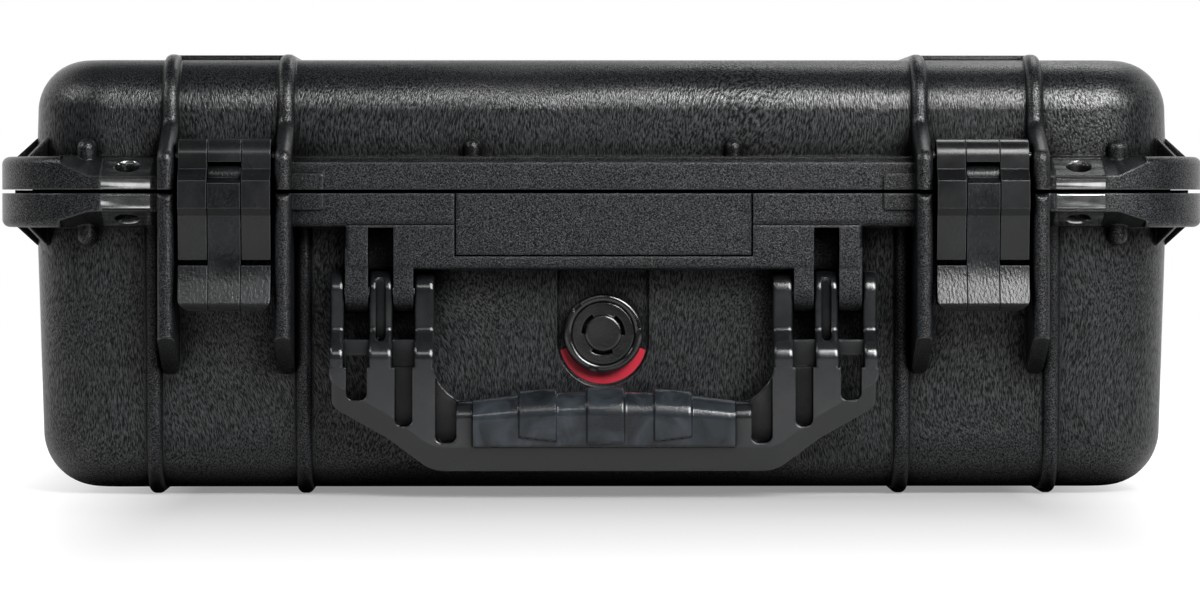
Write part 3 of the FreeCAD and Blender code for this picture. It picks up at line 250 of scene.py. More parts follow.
@dataclass(frozen=True)
class ShellPolypropylene(Finish):
    """Polypropylene copolymer, injection moulded in a spark-eroded tool.

    The walls carry a fine drawn grain that runs mostly upright and bends near the corners. The rim,
    ribs, hoops and block carry a pebbled spark grain whose small facets glint. The lighter tones of both
    grains are partly their own tone and partly painted glints. Edges are rubbed smoother; their lighter
    tone is partly wear and partly a painted highlight, and slots carry painted shade.
    """

    name: str = "moulded_polypropylene"
    # The light tones are partly grain tone and partly painted glints; edge_colour is wear and painted
    # highlight.
    dark: str = "#08090a"
    light: str = "#222426"
    pebble_light: str = "#25272a"
    edge_colour: str = "#26282a"
    half_length: float = 222.5
    half_width: float = 148.0
    corner: float = 30.0
    skin_low: float = 2.5
    skin_high: float = 169.8
    skin_round: float = 20.0         # between the walls and the flat ends
    raised: Pair = (0.7, 1.6)        # heights above the skin where the pebbles set in and are full
    grain_width: float = 0.48
    grain_stretch: float = 0.2
    grain_span: Pair = (0.40, 0.66)
    swirl_size: float = 90.0
    drift: Triple = (0.05, 0.05, 0.0)        # how far the swirls bend the grain, in metres
    pebble_size: float = 0.5
    pebble_span: Pair = (0.40, 0.72)
    relief_depth: float = 0.14
    edge_round: float = 1.2
    roughness: float = 0.28
    edge_roughness: float = 0.16
    least_gloss: float = 0.15
    slot_reach: float = 14.0

    def skin_distance(self, net: Net, place: Socket) -> Node:
        """Height above the drafted, rounded skin of the two tubs, in metres.

        The plan distance is the length of the part of (|x|, |y|) beyond the corner centres, less the
        corner radius. The same rule then joins it with the upright distance by the edge radius.

        Args:
            net: the material's nodes.
            place: object coordinates.

        Returns:
            The node whose first output is the distance.
        """
        cores = ((self.half_length - self.corner) * MM, (self.half_width - self.corner) * MM, 1.0)
        middle = (self.skin_low + self.skin_high) / 2 * MM
        half = (self.skin_high - self.skin_low) / 2 * MM - self.skin_round * MM
        height = net.add("SeparateXYZ", {0: place}).outputs["Z"]
        lean = net.chain(height, ("SUBTRACT", PARTING * MM), ("ABSOLUTE",), ("MULTIPLY", DRAFT))
        beyond = net.chain(place, ("ABSOLUTE",), ("ADD", lean), ("SUBTRACT", cores), kind="VectorMath")
        corner = (self.corner - self.skin_round) * MM
        plan_over = net.chain(net.length_above_zero(beyond), ("SUBTRACT", corner))
        up_over = net.chain(height, ("SUBTRACT", middle), ("ABSOLUTE",), ("SUBTRACT", half))
        pair = net.add("CombineXYZ", {0: plan_over, 1: up_over})
        return net.chain(net.length_above_zero(pair), ("SUBTRACT", self.skin_round * MM))

    def feeds(self, net: Net, place: Socket) -> Feeds:
        """One pattern on the skin, another on all that stands off it."""
        low, high = self.raised
        raised = net.add("MapRange", {"Value": self.skin_distance(net, place), 1: low * MM, 2: high * MM})
        swirl = net.add("TexNoise", {"Vector": place, "Scale": 1 / (self.swirl_size * MM), "Detail": 1.0})
        bent = net.chain(swirl.outputs["Color"], ("SUBTRACT", (0.5, 0.5, 0.5)), ("MULTIPLY", self.drift),
                         ("ADD", place), kind="VectorMath")
        drawn = net.add("Mapping", {
            "Vector": bent, "Scale": (1.0, 1.0, self.grain_stretch), "Rotation": (0.0, 0.0, 0.6)})
        grain = net.add("TexNoise", {
            "Vector": drawn, "Scale": 1 / (self.grain_width * MM), "Detail": 2.0, "Roughness": 0.6})
        turned = net.add("Mapping", {"Vector": place, "Rotation": (0.6, 0.5, 0.4)})
        pebbles = net.add("TexNoise", {
            "Vector": turned, "Scale": 1 / (self.pebble_size * MM), "Detail": 1.0, "Roughness": 0.5})

        # Lighter tones: partly the grain's own tone, partly painted glints of its facets.
        grain_tone, wall_colour = net.two_tone(grain, self.grain_span, self.dark, self.light)
        pebble_tone, rim_colour = net.two_tone(pebbles, self.pebble_span, self.dark, self.pebble_light)
        colour = net.add("Mix", {"Factor": raised, 6: wall_colour, 7: rim_colour}, data_type="RGBA")
        rounded, edge, worn_and_sheened = net.rub_and_sheen_edges(self.edge_round, colour.outputs[2], self.edge_colour)

        height = net.add("Mix", {"Factor": raised, 2: grain, 3: pebbles}, data_type="FLOAT")
        relief = net.add("Bump", {
            "Height": height, "Normal": rounded, "Strength": 1.0, "Distance": self.relief_depth * MM})
        polish = net.add("MapRange", {"Value": edge, 3: self.roughness, 4: self.edge_roughness})
        facets = net.add("Mix", {"Factor": raised, 2: grain_tone, 3: pebble_tone}, data_type="FLOAT")
        bright = net.chain(facets, ("MAXIMUM", edge))
        gloss = net.add("MapRange", {"Value": bright, 3: self.least_gloss, 4: 1.0})
        # Deep in slots the colour darkens and the gloss dulls: painted shade.
        return {"Roughness": polish, "Normal": relief, **net.paint_slot_shade(self.slot_reach, worn_and_sheened, gloss)}


@dataclass(frozen=True)
class MouldedNylon(Finish):
    """Glass-filled nylon from a polished or lightly grained tool; edges rubbed a little, lighter partly as
    painted highlight.
    """

    dark: str
    light: str
    roughness: float
    grain_size: float
    relief_depth: float
    streak: Triple = (1.0, 1.0, 1.0)
    cloud_size: float = 18.0
    tone_span: Pair = (0.16, 0.40)
    # Lighter edges: partly wear, partly a painted edge highlight.
    edge_colour: str = "#444648"
    edge_round: float = 0.5
    shine: float = 0.5
    slot_reach: float = 12.0

    def feeds(self, net: Net, place: Socket) -> Feeds:
        """Cloudy tone and gloss, fine relief, lighter rounded edges (wear and painted highlight) and painted
        slot shade.
        """
        drawn = net.add("Mapping", {"Vector": place, "Scale": self.streak, "Rotation": (0.5, 0.5, 0.3)})
        grain = net.add("TexNoise", {"Vector": drawn, "Scale": 1 / (self.grain_size * MM), "Detail": 2.0})
        clouds = net.add("TexNoise", {"Vector": place, "Scale": 1 / (self.cloud_size * MM), "Detail": 3.0})
        both = net.chain(grain, ("MULTIPLY", clouds))
        _, colour = net.two_tone(both, self.tone_span, self.dark, self.light)
        rounded, _, worn_and_sheened = net.rub_and_sheen_edges(self.edge_round, colour, self.edge_colour)
        relief = net.add("Bump", {
            "Height": grain, "Normal": rounded, "Strength": 0.5, "Distance": self.relief_depth * MM})
        polish = net.add("MapRange", {
            "Value": clouds, **NOISE_SPAN, 3: self.roughness - 0.05, 4: self.roughness + 0.06})
        return {"Roughness": polish, "Normal": relief, **net.paint_slot_shade(self.slot_reach, worn_and_sheened, self.shine)}


@dataclass(frozen=True)
class SoftRubber(Finish):
    """Thermoplastic rubber, moulded satin, with the smudges that hands leave on it."""

    dark: str
    light: str
    roughness: float
    smudge_size: float = 14.0
    fine_size: float = 0.7
    relief_depth: float = 0.12

    def feeds(self, net: Net, place: Socket) -> Feeds:
        """Lighter, smoother smudges over an even body with a fine relief."""
        smudge = net.add("TexNoise", {
            "Vector": place, "Scale": 1 / (self.smudge_size * MM), "Detail": 5.0, "Distortion": 1.2})
        fine = net.add("TexNoise", {"Vector": place, "Scale": 1 / (self.fine_size * MM), "Detail": 1.0})
        polish = net.add("MapRange", {
            "Value": smudge, **NOISE_SPAN, 3: self.roughness + 0.08, 4: self.roughness - 0.1})
        relief = net.add("Bump", {"Height": fine, "Strength": 0.3, "Distance": self.relief_depth * MM})
        return {"Base Color": net.two_tone(smudge, (0.35, 0.7), self.dark, self.light)[1],
                "Roughness": polish, "Normal": relief}


@dataclass(frozen=True)
class BrightSteel(Finish):
    """Stainless steel sheet and wire, bright rolled: a fine lengthwise grain on slow mirror waves."""

    name: str = "bright_rolled_stainless"
    light: str = "#e2e3e3"
    dark: str = "#b9bbbd"
    stain_size: float = 5.0
    rolling_width: float = 0.35
    rolling_depth: float = 0.03
    wave_length: float = 3.5
    wave_depth: float = 0.45
    edge_round: float = 0.7
    smoothest: float = 0.12
    roughest: float = 0.17

    def feeds(self, net: Net, place: Socket) -> Feeds:
        """Stains in the tone, rolling lines in relief and roughness, and waves under them."""
        drawn = net.add("VectorMath", {0: place, 1: (0.06, 1.0, 1.0)}, operation="MULTIPLY")
        lines = net.add("TexNoise", {"Vector": drawn, "Scale": 1 / (self.rolling_width * MM), "Detail": 2.0})
        stains = net.add("TexNoise", {"Vector": place, "Scale": 1 / (self.stain_size * MM), "Detail": 3.0})
        polish = net.add("MapRange", {"Value": lines, **NOISE_SPAN, 3: self.smoothest, 4: self.roughest})
        rounded = net.add("Bevel", {"Radius": self.edge_round * MM}, samples=SHADING_SAMPLES)
        across = net.add("Mapping", {"Vector": place, "Scale": (0.12, 1.0, 1.0)})
        waves = net.add("TexNoise", {"Vector": across, "Scale": 1 / (self.wave_length * MM), "Detail": 0.0})
        bowed = net.add("Bump", {
            "Height": waves, "Normal": rounded, "Strength": 1.0, "Distance": self.wave_depth * MM})
        relief = net.add("Bump", {
            "Height": lines, "Normal": bowed, "Strength": 0.2, "Distance": self.rolling_depth * MM})
        return {"Base Color": net.two_tone(stains, (0.35, 0.7), self.light, self.dark)[1],
                "Metallic": 1.0, "Roughness": polish, "Normal": relief}


@dataclass(frozen=True)
class LabelFilm(Finish):
    """Printed vinyl film under a clear satin coat, even in colour, left bare."""

    name: str = "bare_red_vinyl_film"
    red: str = "#a8102a"
    deep: str = "#7d0f22"
    mottle_size: float = 4.0

    def feeds(self, net: Net, place: Socket) -> Feeds:
        """Slight print mottle below a thin coat."""
        mottle = net.add("TexNoise", {"Vector": place, "Scale": 1 / (self.mottle_size * MM), "Detail": 3.0})
        return {"Base Color": net.two_tone(mottle, (0.45, 0.8), self.red, self.deep)[1], "Roughness": 0.5,
                "Specular IOR Level": 0.3, "Coat Weight": 0.15, "Coat Roughness": 0.2}


@dataclass(frozen=True)
class FoamCells(Finish):
    """Open-cell polyurethane foam: matt, with a skin of small round pores and a few larger ones."""

    dark: str
    light: str
    pore_size: float
    shade_size: float = 9.0
    relief_depth: float = 0.5

    def feeds(self, net: Net, place: Socket) -> Feeds:
        """Pores from a cell pattern, in relief and in a darker tone that is painted shade in their hollows.
        """
        pores = net.add("TexVoronoi", {
            "Vector": place, "Scale": 1 / (self.pore_size * MM)}).outputs["Distance"]
        shade = net.add("TexNoise", {"Vector": place, "Scale": 1 / (self.shade_size * MM), "Detail": 4.0})
        share = net.chain(pores, ("MULTIPLY", shade))
        relief = net.add("Bump", {"Height": pores, "Strength": 0.7, "Distance": self.relief_depth * MM})
        return {"Base Color": net.two_tone(share, (0.05, 0.35), self.dark, self.light)[1],
                "Roughness": 0.95, "Normal": relief, "Specular IOR Level": 0.2, "Sheen Weight": 0.15}


@dataclass(frozen=True)
class VentFilm(Finish):
    """Expanded fluoropolymer membrane: a white matt film with a faint fibre web."""

    name: str = "porous_white_membrane"
    web_size: float = 0.4
    web_depth: float = 0.05

    def feeds(self, net: Net, place: Socket) -> Feeds:
        """A soft web in tone and relief."""
        web = net.add("TexNoise", {"Vector": place, "Scale": 1 / (self.web_size * MM), "Detail": 4.0})
        relief = net.add("Bump", {"Height": web, "Strength": 0.3, "Distance": self.web_depth * MM})
        return {"Base Color": net.two_tone(web, (0.0, 1.0), "#dcdcd8", "#f2f2ef")[1], "Roughness": 0.9,
                "Normal": relief}


@dataclass(frozen=True)
class GlowingFloor(Finish):
    """Studio floor that keeps the shade near the case, with a weak glow there that paints more of it, and
    fades to white round it.
    """

    name: str = "white_floor"
    colour: str = "#9a9a9a"
    shade_half: Pair = (0.159, 0.17)
    shade_reach: Pair = (0.084, 0.78)
    near_glow: float = 0.25
    mirrored_glow: Pair = (0.11, 0.44)      # near the case and far from it

    def feeds(self, net: Net, place: Socket) -> Feeds:
        """A glow that grows with the distance from the case's footprint, in shares of the shade's reach.

        Reflections see a dimmer glow, which is weakest near the case. The weak glow near the case is
        painted shadow, for the camera and in reflections.
        """
        shares = net.chain(place, ("ABSOLUTE",), ("SUBTRACT", (*self.shade_half, 0.0)),
                           ("DIVIDE", (*self.shade_reach, 1.0)), kind="VectorMath")
        away = net.length_above_zero(shares)
        # Weak glow near the footprint: painted shadow.
        level = net.add("MapRange", {"Value": away, 3: self.near_glow, 4: 1.0})
        near, far = self.mirrored_glow
        dimmer = net.add("MapRange", {"Value": away, 3: near, 4: far}, interpolation_type="SMOOTHSTEP")
        glossy = net.add("LightPath").outputs["Is Glossy Ray"]
        shown = net.add("Mix", {"Factor": glossy, 2: level, 3: dimmer}, data_type="FLOAT")
        glow = net.chain(net.seen_directly(), ("MULTIPLY", shown))
        return {"Base Color": linear(self.colour), "Roughness": 0.9, "Specular IOR Level": 0.0,
                "Emission Color": WHITE, "Emission Strength": glow}


# Mesh helpers

def grid_faces(rows: int, columns: int, wrap: bool = False) -> Array:
    """Quads between the points of a grid, numbered row by row.

    Args:
        rows: number of rows of points.
        columns: number of points in a row.
        wrap: whether the last point of a row joins its first.

    Returns:
        An array of four point numbers for each quad.
    """
    last = columns if wrap else columns - 1
    row, column = np.meshgrid(np.arange(rows - 1), np.arange(last), indexing="ij")
    following = (column + 1) % columns
    quads = [row * columns + column, row * columns + following,
             (row + 1) * columns + following, (row + 1) * columns + column]
    return np.stack([quad.ravel() for quad in quads], axis=1)


def make_object(name: str, data: bpy.types.ID) -> Object:
    """Make an object of a mesh, a camera or a lamp, and link it to the scene."""
    made = bpy.data.objects.new(name, data)
    bpy.context.scene.collection.objects.link(made)
    return made


def make_piece(name: str, parts: Sequence[Surface], sharp_angle: float = 35.0) -> Object:
    """Join surfaces into one closed mesh object at the origin.

    Points that meet are merged, faces without area go, and the normals are turned outwards.

    Args:
        name: name of the piece.
        parts: pairs of points in millimetres, of shape (n, 3), and quads.
        sharp_angle: edges that turn more than this many degrees stay sharp.

    Returns:
        The object.
    """
    points, faces, offset = [], [], 0
    for part_points, part_faces in parts:
        flat = part_points.reshape(-1, 3)
        points.append(flat * MM)
        faces.append(part_faces + offset)
        offset += len(flat)
    mesh = bpy.data.meshes.new(name)
    mesh.from_pydata(np.concatenate(points).tolist(), [], np.concatenate(faces).tolist())
    work = bmesh.new()
    work.from_mesh(mesh)
    bmesh.ops.remove_doubles(work, verts=work.verts, dist=MERGE_DISTANCE * MM)
    bmesh.ops.dissolve_degenerate(work, edges=work.edges, dist=SHORTEST_EDGE * MM)
    bmesh.ops.recalc_face_normals(work, faces=work.faces)
    work.to_mesh(mesh)
    work.free()
    mesh.polygons.foreach_set("use_smooth", np.ones(len(mesh.polygons), dtype=bool))
    mesh.set_sharp_from_angle(angle=math.radians(sharp_angle))
    mesh.update()
    return make_object(name, mesh)


def make_ring(name: str, sections: Array) -> Object:
    """Join a closed run of closed sections into a ring.

    Args:
        name: name of the piece.
        sections: points in millimetres, of shape (sections, points in each, 3).

    Returns:
        The object.
    """
    looped = np.concatenate([sections, sections[:1]])
    return make_piece(name, [(looped, grid_faces(len(looped), sections.shape[1], wrap=True))])


def squared_oval(turn: Array, power: float, half_u: float, half_v: float) -> Arrays:
    """Points of an oval that a power of cosine and sine swells towards its box.

    Args:
        turn: angles of the points.
        power: the power, below 1.
        half_u: half width.
        half_v: half height.

    Returns:
        The two coordinates.
    """
    cosine, sine = np.cos(turn), np.sin(turn)
    return (np.sign(cosine) * np.abs(cosine) ** power * half_u,
            np.sign(sine) * np.abs(sine) ** power * half_v)


def hand_over(piece: Object, material: Material, body: Body, nodes: Sequence[str]) -> None:
    """Dress a new piece, let it ride and report it.

    Args:
        piece: the new piece.
        material: its finish.
        body: body that carries it.
        nodes: CAD nodes that it stands for.
    """
    piece.data.materials.append(material)
    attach(piece, body.value)
    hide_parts(*nodes)
    LOG.info("%s: %d faces, rides on %s", piece.name, len(piece.data.polygons), body.value)


@dataclass(frozen=True)
class RoundedPlan:
    """A rounded rectangle about the origin."""

    half_x: float
    half_y: float
    radius: float

    def pull(self, x: Array, y: Array) -> Arrays:
        """Pull points that lie outside onto the outline.

        Beyond the corner centres a point moves along its radius, elsewhere each coordinate is clipped.

        Args:
            x: X of the points.
            y: Y of the points.

        Returns:
            The new X and Y.
        """
        core_x, core_y = self.half_x - self.radius, self.half_y - self.radius
        over_x, over_y = np.abs(x) - core_x, np.abs(y) - core_y
        at_corner = (over_x > 0) & (over_y > 0)
        shrink = np.minimum(1.0, self.radius / np.maximum(np.hypot(over_x, over_y), 1e-9))
        new_x = np.where(at_corner, core_x + over_x * shrink, np.minimum(np.abs(x), self.half_x))
        new_y = np.where(at_corner, core_y + over_y * shrink, np.minimum(np.abs(y), self.half_y))
        return np.copysign(new_x, x), np.copysign(new_y, y)

    def ring(self, steps: int) -> Arrays:
        """Go round the outline, corner arc by corner arc.

        Args:
            steps: number of arc steps in a corner.

        Returns:
            Points and outward normals, both of shape (n, 2).
        """
        quarter = np.linspace(0, math.pi / 2, steps + 1)
        angles = (quarter + np.arange(4)[:, None] * math.pi / 2).ravel()
        normals = np.stack([np.cos(angles), np.sin(angles)], axis=1)
        signs = np.array([(1, 1), (-1, 1), (-1, -1), (1, -1)]).repeat(steps + 1, axis=0)
        centres = signs * np.array([self.half_x - self.radius, self.half_y - self.radius])
        return centres + normals * self.radius, normals


# Seal and gasket

@dataclass
class LidSeal:
    """Neoprene seal in the groove of the lid rim: one cord with a squared oval section."""

    half_length: float = 225.1
    half_width: float = 150.6
    corner: float = 32.6
    width: float = 5.7
    low: float = 121.5
    high: float = 125.1
    squareness: float = 2.6
    corner_steps: int = 20
    section_steps: int = 28

    def build(self, material: Material) -> None:
        """Carry a squared oval section round the rim; the oval is |u|^p + |v|^p = 1.

        Args:
            material: the seal's rubber.
        """
        middle = self.width / 2
        plan = RoundedPlan(self.half_length - middle, self.half_width - middle, self.corner - middle)
        ring, normals = plan.ring(self.corner_steps)
        turn = np.linspace(0, math.tau, self.section_steps, endpoint=False)
        across, level = squared_oval(turn, 2 / self.squareness, middle, (self.high - self.low) / 2)
        places = ring[:, None] + normals[:, None] * across[:, None]
        heights = np.broadcast_to((self.low + self.high) / 2 + level, places.shape[:2])
        cord = make_ring("lid_seal_cord", np.concatenate([places, heights[:, :, None]], axis=2))
        hand_over(cord, material, Body.LID, ["lid_seal"])


@dataclass
class ValveGasket:
    """Rubber washer between the front wall and the valve nut."""

    centre: float = 63.4
    inner: float = 8.08
    outer: float = 10.4
    section_power: float = 0.6
    steps: int = 64
    section_steps: int = 20

    def build(self, material: Material) -> None:
        """Turn a rounded section about the valve axis.

        Args:
            material: the washer's rubber.
        """
        low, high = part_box("valve_gasket")
        middle_y, half_y = (low.y + high.y) / 2 / MM, (high.y - low.y) / 2 / MM
        around = np.linspace(0, math.tau, self.steps, endpoint=False)[:, None]
        turn = np.linspace(0, math.tau, self.section_steps, endpoint=False)[None, :]
        half = (self.outer - self.inner) / 2
        out, along = squared_oval(turn, self.section_power, half, half_y)
        radius = self.inner + half + out
        x, z = radius * np.cos(around), self.centre + radius * np.sin(around)
        y = np.broadcast_to(middle_y + along, x.shape)
        washer = make_ring("valve_washer", np.stack([x, y, z], axis=2))
        hand_over(washer, material, Body.BASE, ["valve_gasket"])


# Handle grip

@dataclass
class HandleGrip:
    """Soft over-moulding on the crossbar: a bowed saddle with three raised finger pads."""

    half_length: float = 50.2
    front: float = -177.0
    back: float = -158.6
    bottom: float = 20.6
    top_end: float = 38.0
    top_middle: float = 41.5
    core_front: float = -171.0
    core_back: float = -163.0
    core_top: float = 36.0
    edge_round: float = 8.5
    heel_round: float = 1.0
    pad_places: tuple[float, ...] = (-25.4, 0.6, 26.4)
    pad_half: float = 7.2
    pad_stand: float = 1.6
    pad_edge: float = 0.5
    pad_edge_lines: tuple[float, ...] = (-0.6, -0.35, -0.15, 0.0, 0.15, 0.35, 0.6)
    foot_level: float = 22.2         # lower end of a pad in the middle of the grip
    foot_climb: float = 0.0022       # how it climbs, for each square of x
    foot_edge: float = 0.9
    pad_end_share: float = 0.66      # share of the way round the section where a pad ends
    pad_end_edge: float = 3.0
    scoop_depth: float = 1.6
    scoop_half: tuple[float, ...] = (4.2, 5.8, 4.2)
    scoop_half_round: float = 3.0
    crown_normal: float = 0.75       # the scoops lie where the normal first points up this much
    front_normal: float = 0.2        # the pads lie where it points back less than this
    arc_steps: int = 9
    gap_steps: int = 26
    length_steps: int = 84

    def section(self) -> Arrays:
        """Outer line of the saddle's section, from the core's foot in front, over the top, to the back.

        Returns:
            Points (y, share of the height), outward normals, and how far each point has gone round.
        """
        arc = np.linspace(0, math.pi / 2, self.arc_steps)
        heel, edge = self.heel_round, self.edge_round
        corners = [(self.front + heel, self.bottom + heel, heel, math.pi * 1.5),
                   (self.front + edge, self.top_middle - edge, edge, math.pi),
                   (self.back - edge, self.top_middle - edge, edge, math.pi / 2),
                   (self.back - heel, self.bottom + heel, heel, 0.0)]
        gap = np.linspace(0, 1, self.gap_steps)[1:-1, None]
        down = np.array([[0.0, -1.0]])
        points, normals = [np.array([[self.core_front, self.bottom]])], [down]
        for y, z, radius, start in corners:
            angle = start - arc
            direction = np.stack([np.cos(angle), np.sin(angle)], axis=1)
            if len(points) > 1:
                joined = points[-1][-1] * (1 - gap) + (np.array([y, z]) + direction[0] * radius) * gap
                points.append(joined)
                normals.append(np.repeat(direction[:1], len(joined), axis=0))
            points.append(np.array([y, z]) + direction * radius)
            normals.append(direction)
        line = np.concatenate([*points, np.array([[self.core_back, self.bottom]])])
        steps = np.hypot(*np.diff(line, axis=0).T)
        line[:, 1] = (line[:, 1] - self.bottom) / (self.top_middle - self.bottom)
        return line, np.concatenate([*normals, down]), np.concatenate([[0.0], np.cumsum(steps)])

    @staticmethod
    def step(value: Array, width: float) -> Array:
        """Smooth rise from 0 to 1 over a width about zero."""
        share = np.clip(value / width + 0.5, 0, 1)
        return share * share * (3 - 2 * share)

    def lift(self, x: Array, z: Array, normals: Array, gone: Array) -> Array:
        """How far each point of the saddle moves along its normal.

        A pad rises by a smooth step at its sides and its lower end, which climbs with x squared. A
        scoop sinks by (1 - r squared) squared, where r is the share of the way to its oval's edge.

        Args:
            x: places of the sections.
            z: heights of the points, section by section.
            normals: normals of one section.
            gone: how far each point of a section has gone round.

        Returns:
            The lifts, shaped as z.
        """
        crown = gone[np.argmax(normals[:, 1] > self.crown_normal)]
        foot = (self.foot_level + self.foot_climb * x ** 2)[:, None]
        past_foot = self.step(z - foot, self.foot_edge) * (normals[:, 0] < self.front_normal)
        far_side = self.step(gone[-1] * self.pad_end_share - gone, self.pad_end_edge)
        lift = np.zeros_like(z)
        for place, scoop_half in zip(self.pad_places, self.scoop_half):
            inside = self.step(self.pad_half - np.abs(x - place), self.pad_edge * 2)[:, None]
            lift += self.pad_stand * inside * past_foot * far_side
            reach = np.hypot((x - place)[:, None] / scoop_half, (gone - crown) / self.scoop_half_round)
            lift -= self.scoop_depth * np.clip(1 - reach ** 2, 0, 1) ** 2
        return lift

    def build(self, material: Material) -> None:
        """Carry the section along X with a bowed top, raise the pads and line it with the core's form.

        Args:
            material: the grip's rubber.
        """
        edges = np.array([place + side * self.pad_half for place in self.pad_places for side in (-1, 1)])
        near_edges = (edges[:, None] + np.array(self.pad_edge_lines)).ravel()
        even = np.linspace(-self.half_length, self.half_length, self.length_steps)
        x = np.unique(np.round(np.concatenate([even, near_edges]), 3))
        line, normals, gone = self.section()
        top = self.top_end + (self.top_middle - self.top_end) * (1 - (x / self.half_length) ** 2)
        z = self.bottom + line[:, 1] * (top - self.bottom)[:, None]
        lift = self.lift(x, z, normals, gone)
        wide_x = np.broadcast_to(x[:, None], z.shape)
        outer = np.stack([wide_x, line[:, 0] + normals[:, 0] * lift, z + normals[:, 1] * lift], axis=2)

        core_line = np.array([[self.core_front, self.bottom], [self.core_front, self.core_top],
                              [self.core_back, self.core_top], [self.core_back, self.bottom]])
        core_gone = np.concatenate([[0.0], np.cumsum(np.hypot(*np.diff(core_line, axis=0).T))])
        core_place = gone / gone[-1] * core_gone[-1]
        core_y, core_z = (np.interp(core_place, core_gone, column) for column in core_line.T)
        inner = np.stack([wide_x, np.broadcast_to(core_y, z.shape), np.broadcast_to(core_z, z.shape)], axis=2)
        faces = grid_faces(*z.shape)
        ends = [(np.stack([outer[end], inner[end]]), grid_faces(2, len(line))) for end in (0, -1)]
        sleeve = make_piece("handle_grip_sleeve", [(outer, faces), (inner, faces[:, ::-1]), *ends], 50.0)
        hand_over(sleeve, material, Body.HANDLE, ["handle_grip"])


# Foam

@dataclass
class FoamBlock:
    """A foam block that fills part of a drafted tub: top form, leaning sides and a flat back."""

    name: str
    node: str
    body: Body
    face: float              # level of the shown face
    back: float              # level of the hidden face
    tub_end: float           # closed end of the tub that the block lies in
    half_length: float = 217.1
    half_width: float = 142.6
    corner: float = 24.6
    edge_round: float = 16.0
    least_corner: float = 1.0
    side_steps: int = 9
    grid: tuple[int, int] = (60, 40)
    wave_depth: float = 0.25
    wave_widths: Pair = (17.0, 21.0)         # for each radian of the waves

    def inset(self, level: Array) -> Array:
        """How far the side has leaned and curved inwards at a level.

        The lean is the draft times the distance to the parting plane. Within the edge radius r of
        the closed end the side also follows a quarter circle: r - sqrt(r^2 - d^2).

        Args:
            level: heights.

        Returns:
            The insets.
        """
        lean = DRAFT * np.abs(PARTING - level)
        into = np.clip(self.edge_round - np.abs(level - self.tub_end), 0, self.edge_round * 0.999)
        return lean + self.edge_round - np.sqrt(self.edge_round ** 2 - into ** 2)

    def lines(self) -> Arrays:
        """Grid lines of the shown face along X and Y."""
        return (np.linspace(-self.half_length, self.half_length, self.grid[0]),
                np.linspace(-self.half_width, self.half_width, self.grid[1]))

    def relief(self, x: Array, y: Array) -> Array:
        """Depth of the shown face below its level; a plain block is softly waved."""
        wide_x, wide_y = self.wave_widths
        return self.wave_depth * (1 + np.sin(x / wide_x) * np.sin(y / wide_y))

    def layers(self) -> list[Surface]:
        """Surfaces of a block without a pocket.

        Returns:
            Pairs of points and quads: shown face, back and sides.
        """
        raw_x, raw_y = np.meshgrid(*self.lines(), indexing="ij")
        toward = math.copysign(1.0, self.back - self.face)
        levels = self.face + (self.back - self.face) * np.linspace(0, 1, self.side_steps)
        rings = []
        for level, inset in zip(levels, self.inset(levels)):
            plan = RoundedPlan(self.half_length - inset, self.half_width - inset,
                               max(self.corner - inset, self.least_corner))
            x, y = plan.pull(raw_x, raw_y)
            rings.append(np.stack([x, y, np.full_like(x, level)], axis=2))
        shown, back = rings[0], rings[-1]
        shown[:, :, 2] += toward * self.relief(shown[:, :, 0], shown[:, :, 1])
        quads, outline = grid_faces(*raw_x.shape), self.outline(*raw_x.shape)
        sides = np.stack([ring.reshape(-1, 3)[outline] for ring in rings])
        return [(shown, quads), (back, quads), (sides, grid_faces(len(sides), len(outline), wrap=True))]

    @staticmethod
    def outline(rows: int, columns: int) -> Array:
        """Point numbers round the border of a grid, in order."""
        numbers = np.arange(rows * columns).reshape(rows, columns)
        return np.concatenate([numbers[0, :-1], numbers[:-1, -1], numbers[-1, :0:-1], numbers[:0:-1, 0]])

    def build(self, material: Material) -> None:
        """Make the block and hand it over.

        Args:
            material: the foam.
        """
        piece = make_piece(self.name, self.layers(), 45.0)
        hand_over(piece, material, self.body, [self.node])


@dataclass
class EggCrateFoam(FoamBlock):
    """Convoluted lid foam: rounded peaks that press on what the case holds."""

    grid: tuple[int, int] = (146, 96)
    pitch: float = 48.0
    depth: float = 24.0
    sharpness: float = 0.85

    def relief(self, x: Array, y: Array) -> Array:
        """Depth below the peaks: half the depth times (1 - sin kx sin ky), sharpened at the peaks."""
        wave = np.sin(x * math.tau / self.pitch) * np.sin(y * math.tau / self.pitch)
        return self.depth * ((1 - wave) / 2) ** self.sharpness


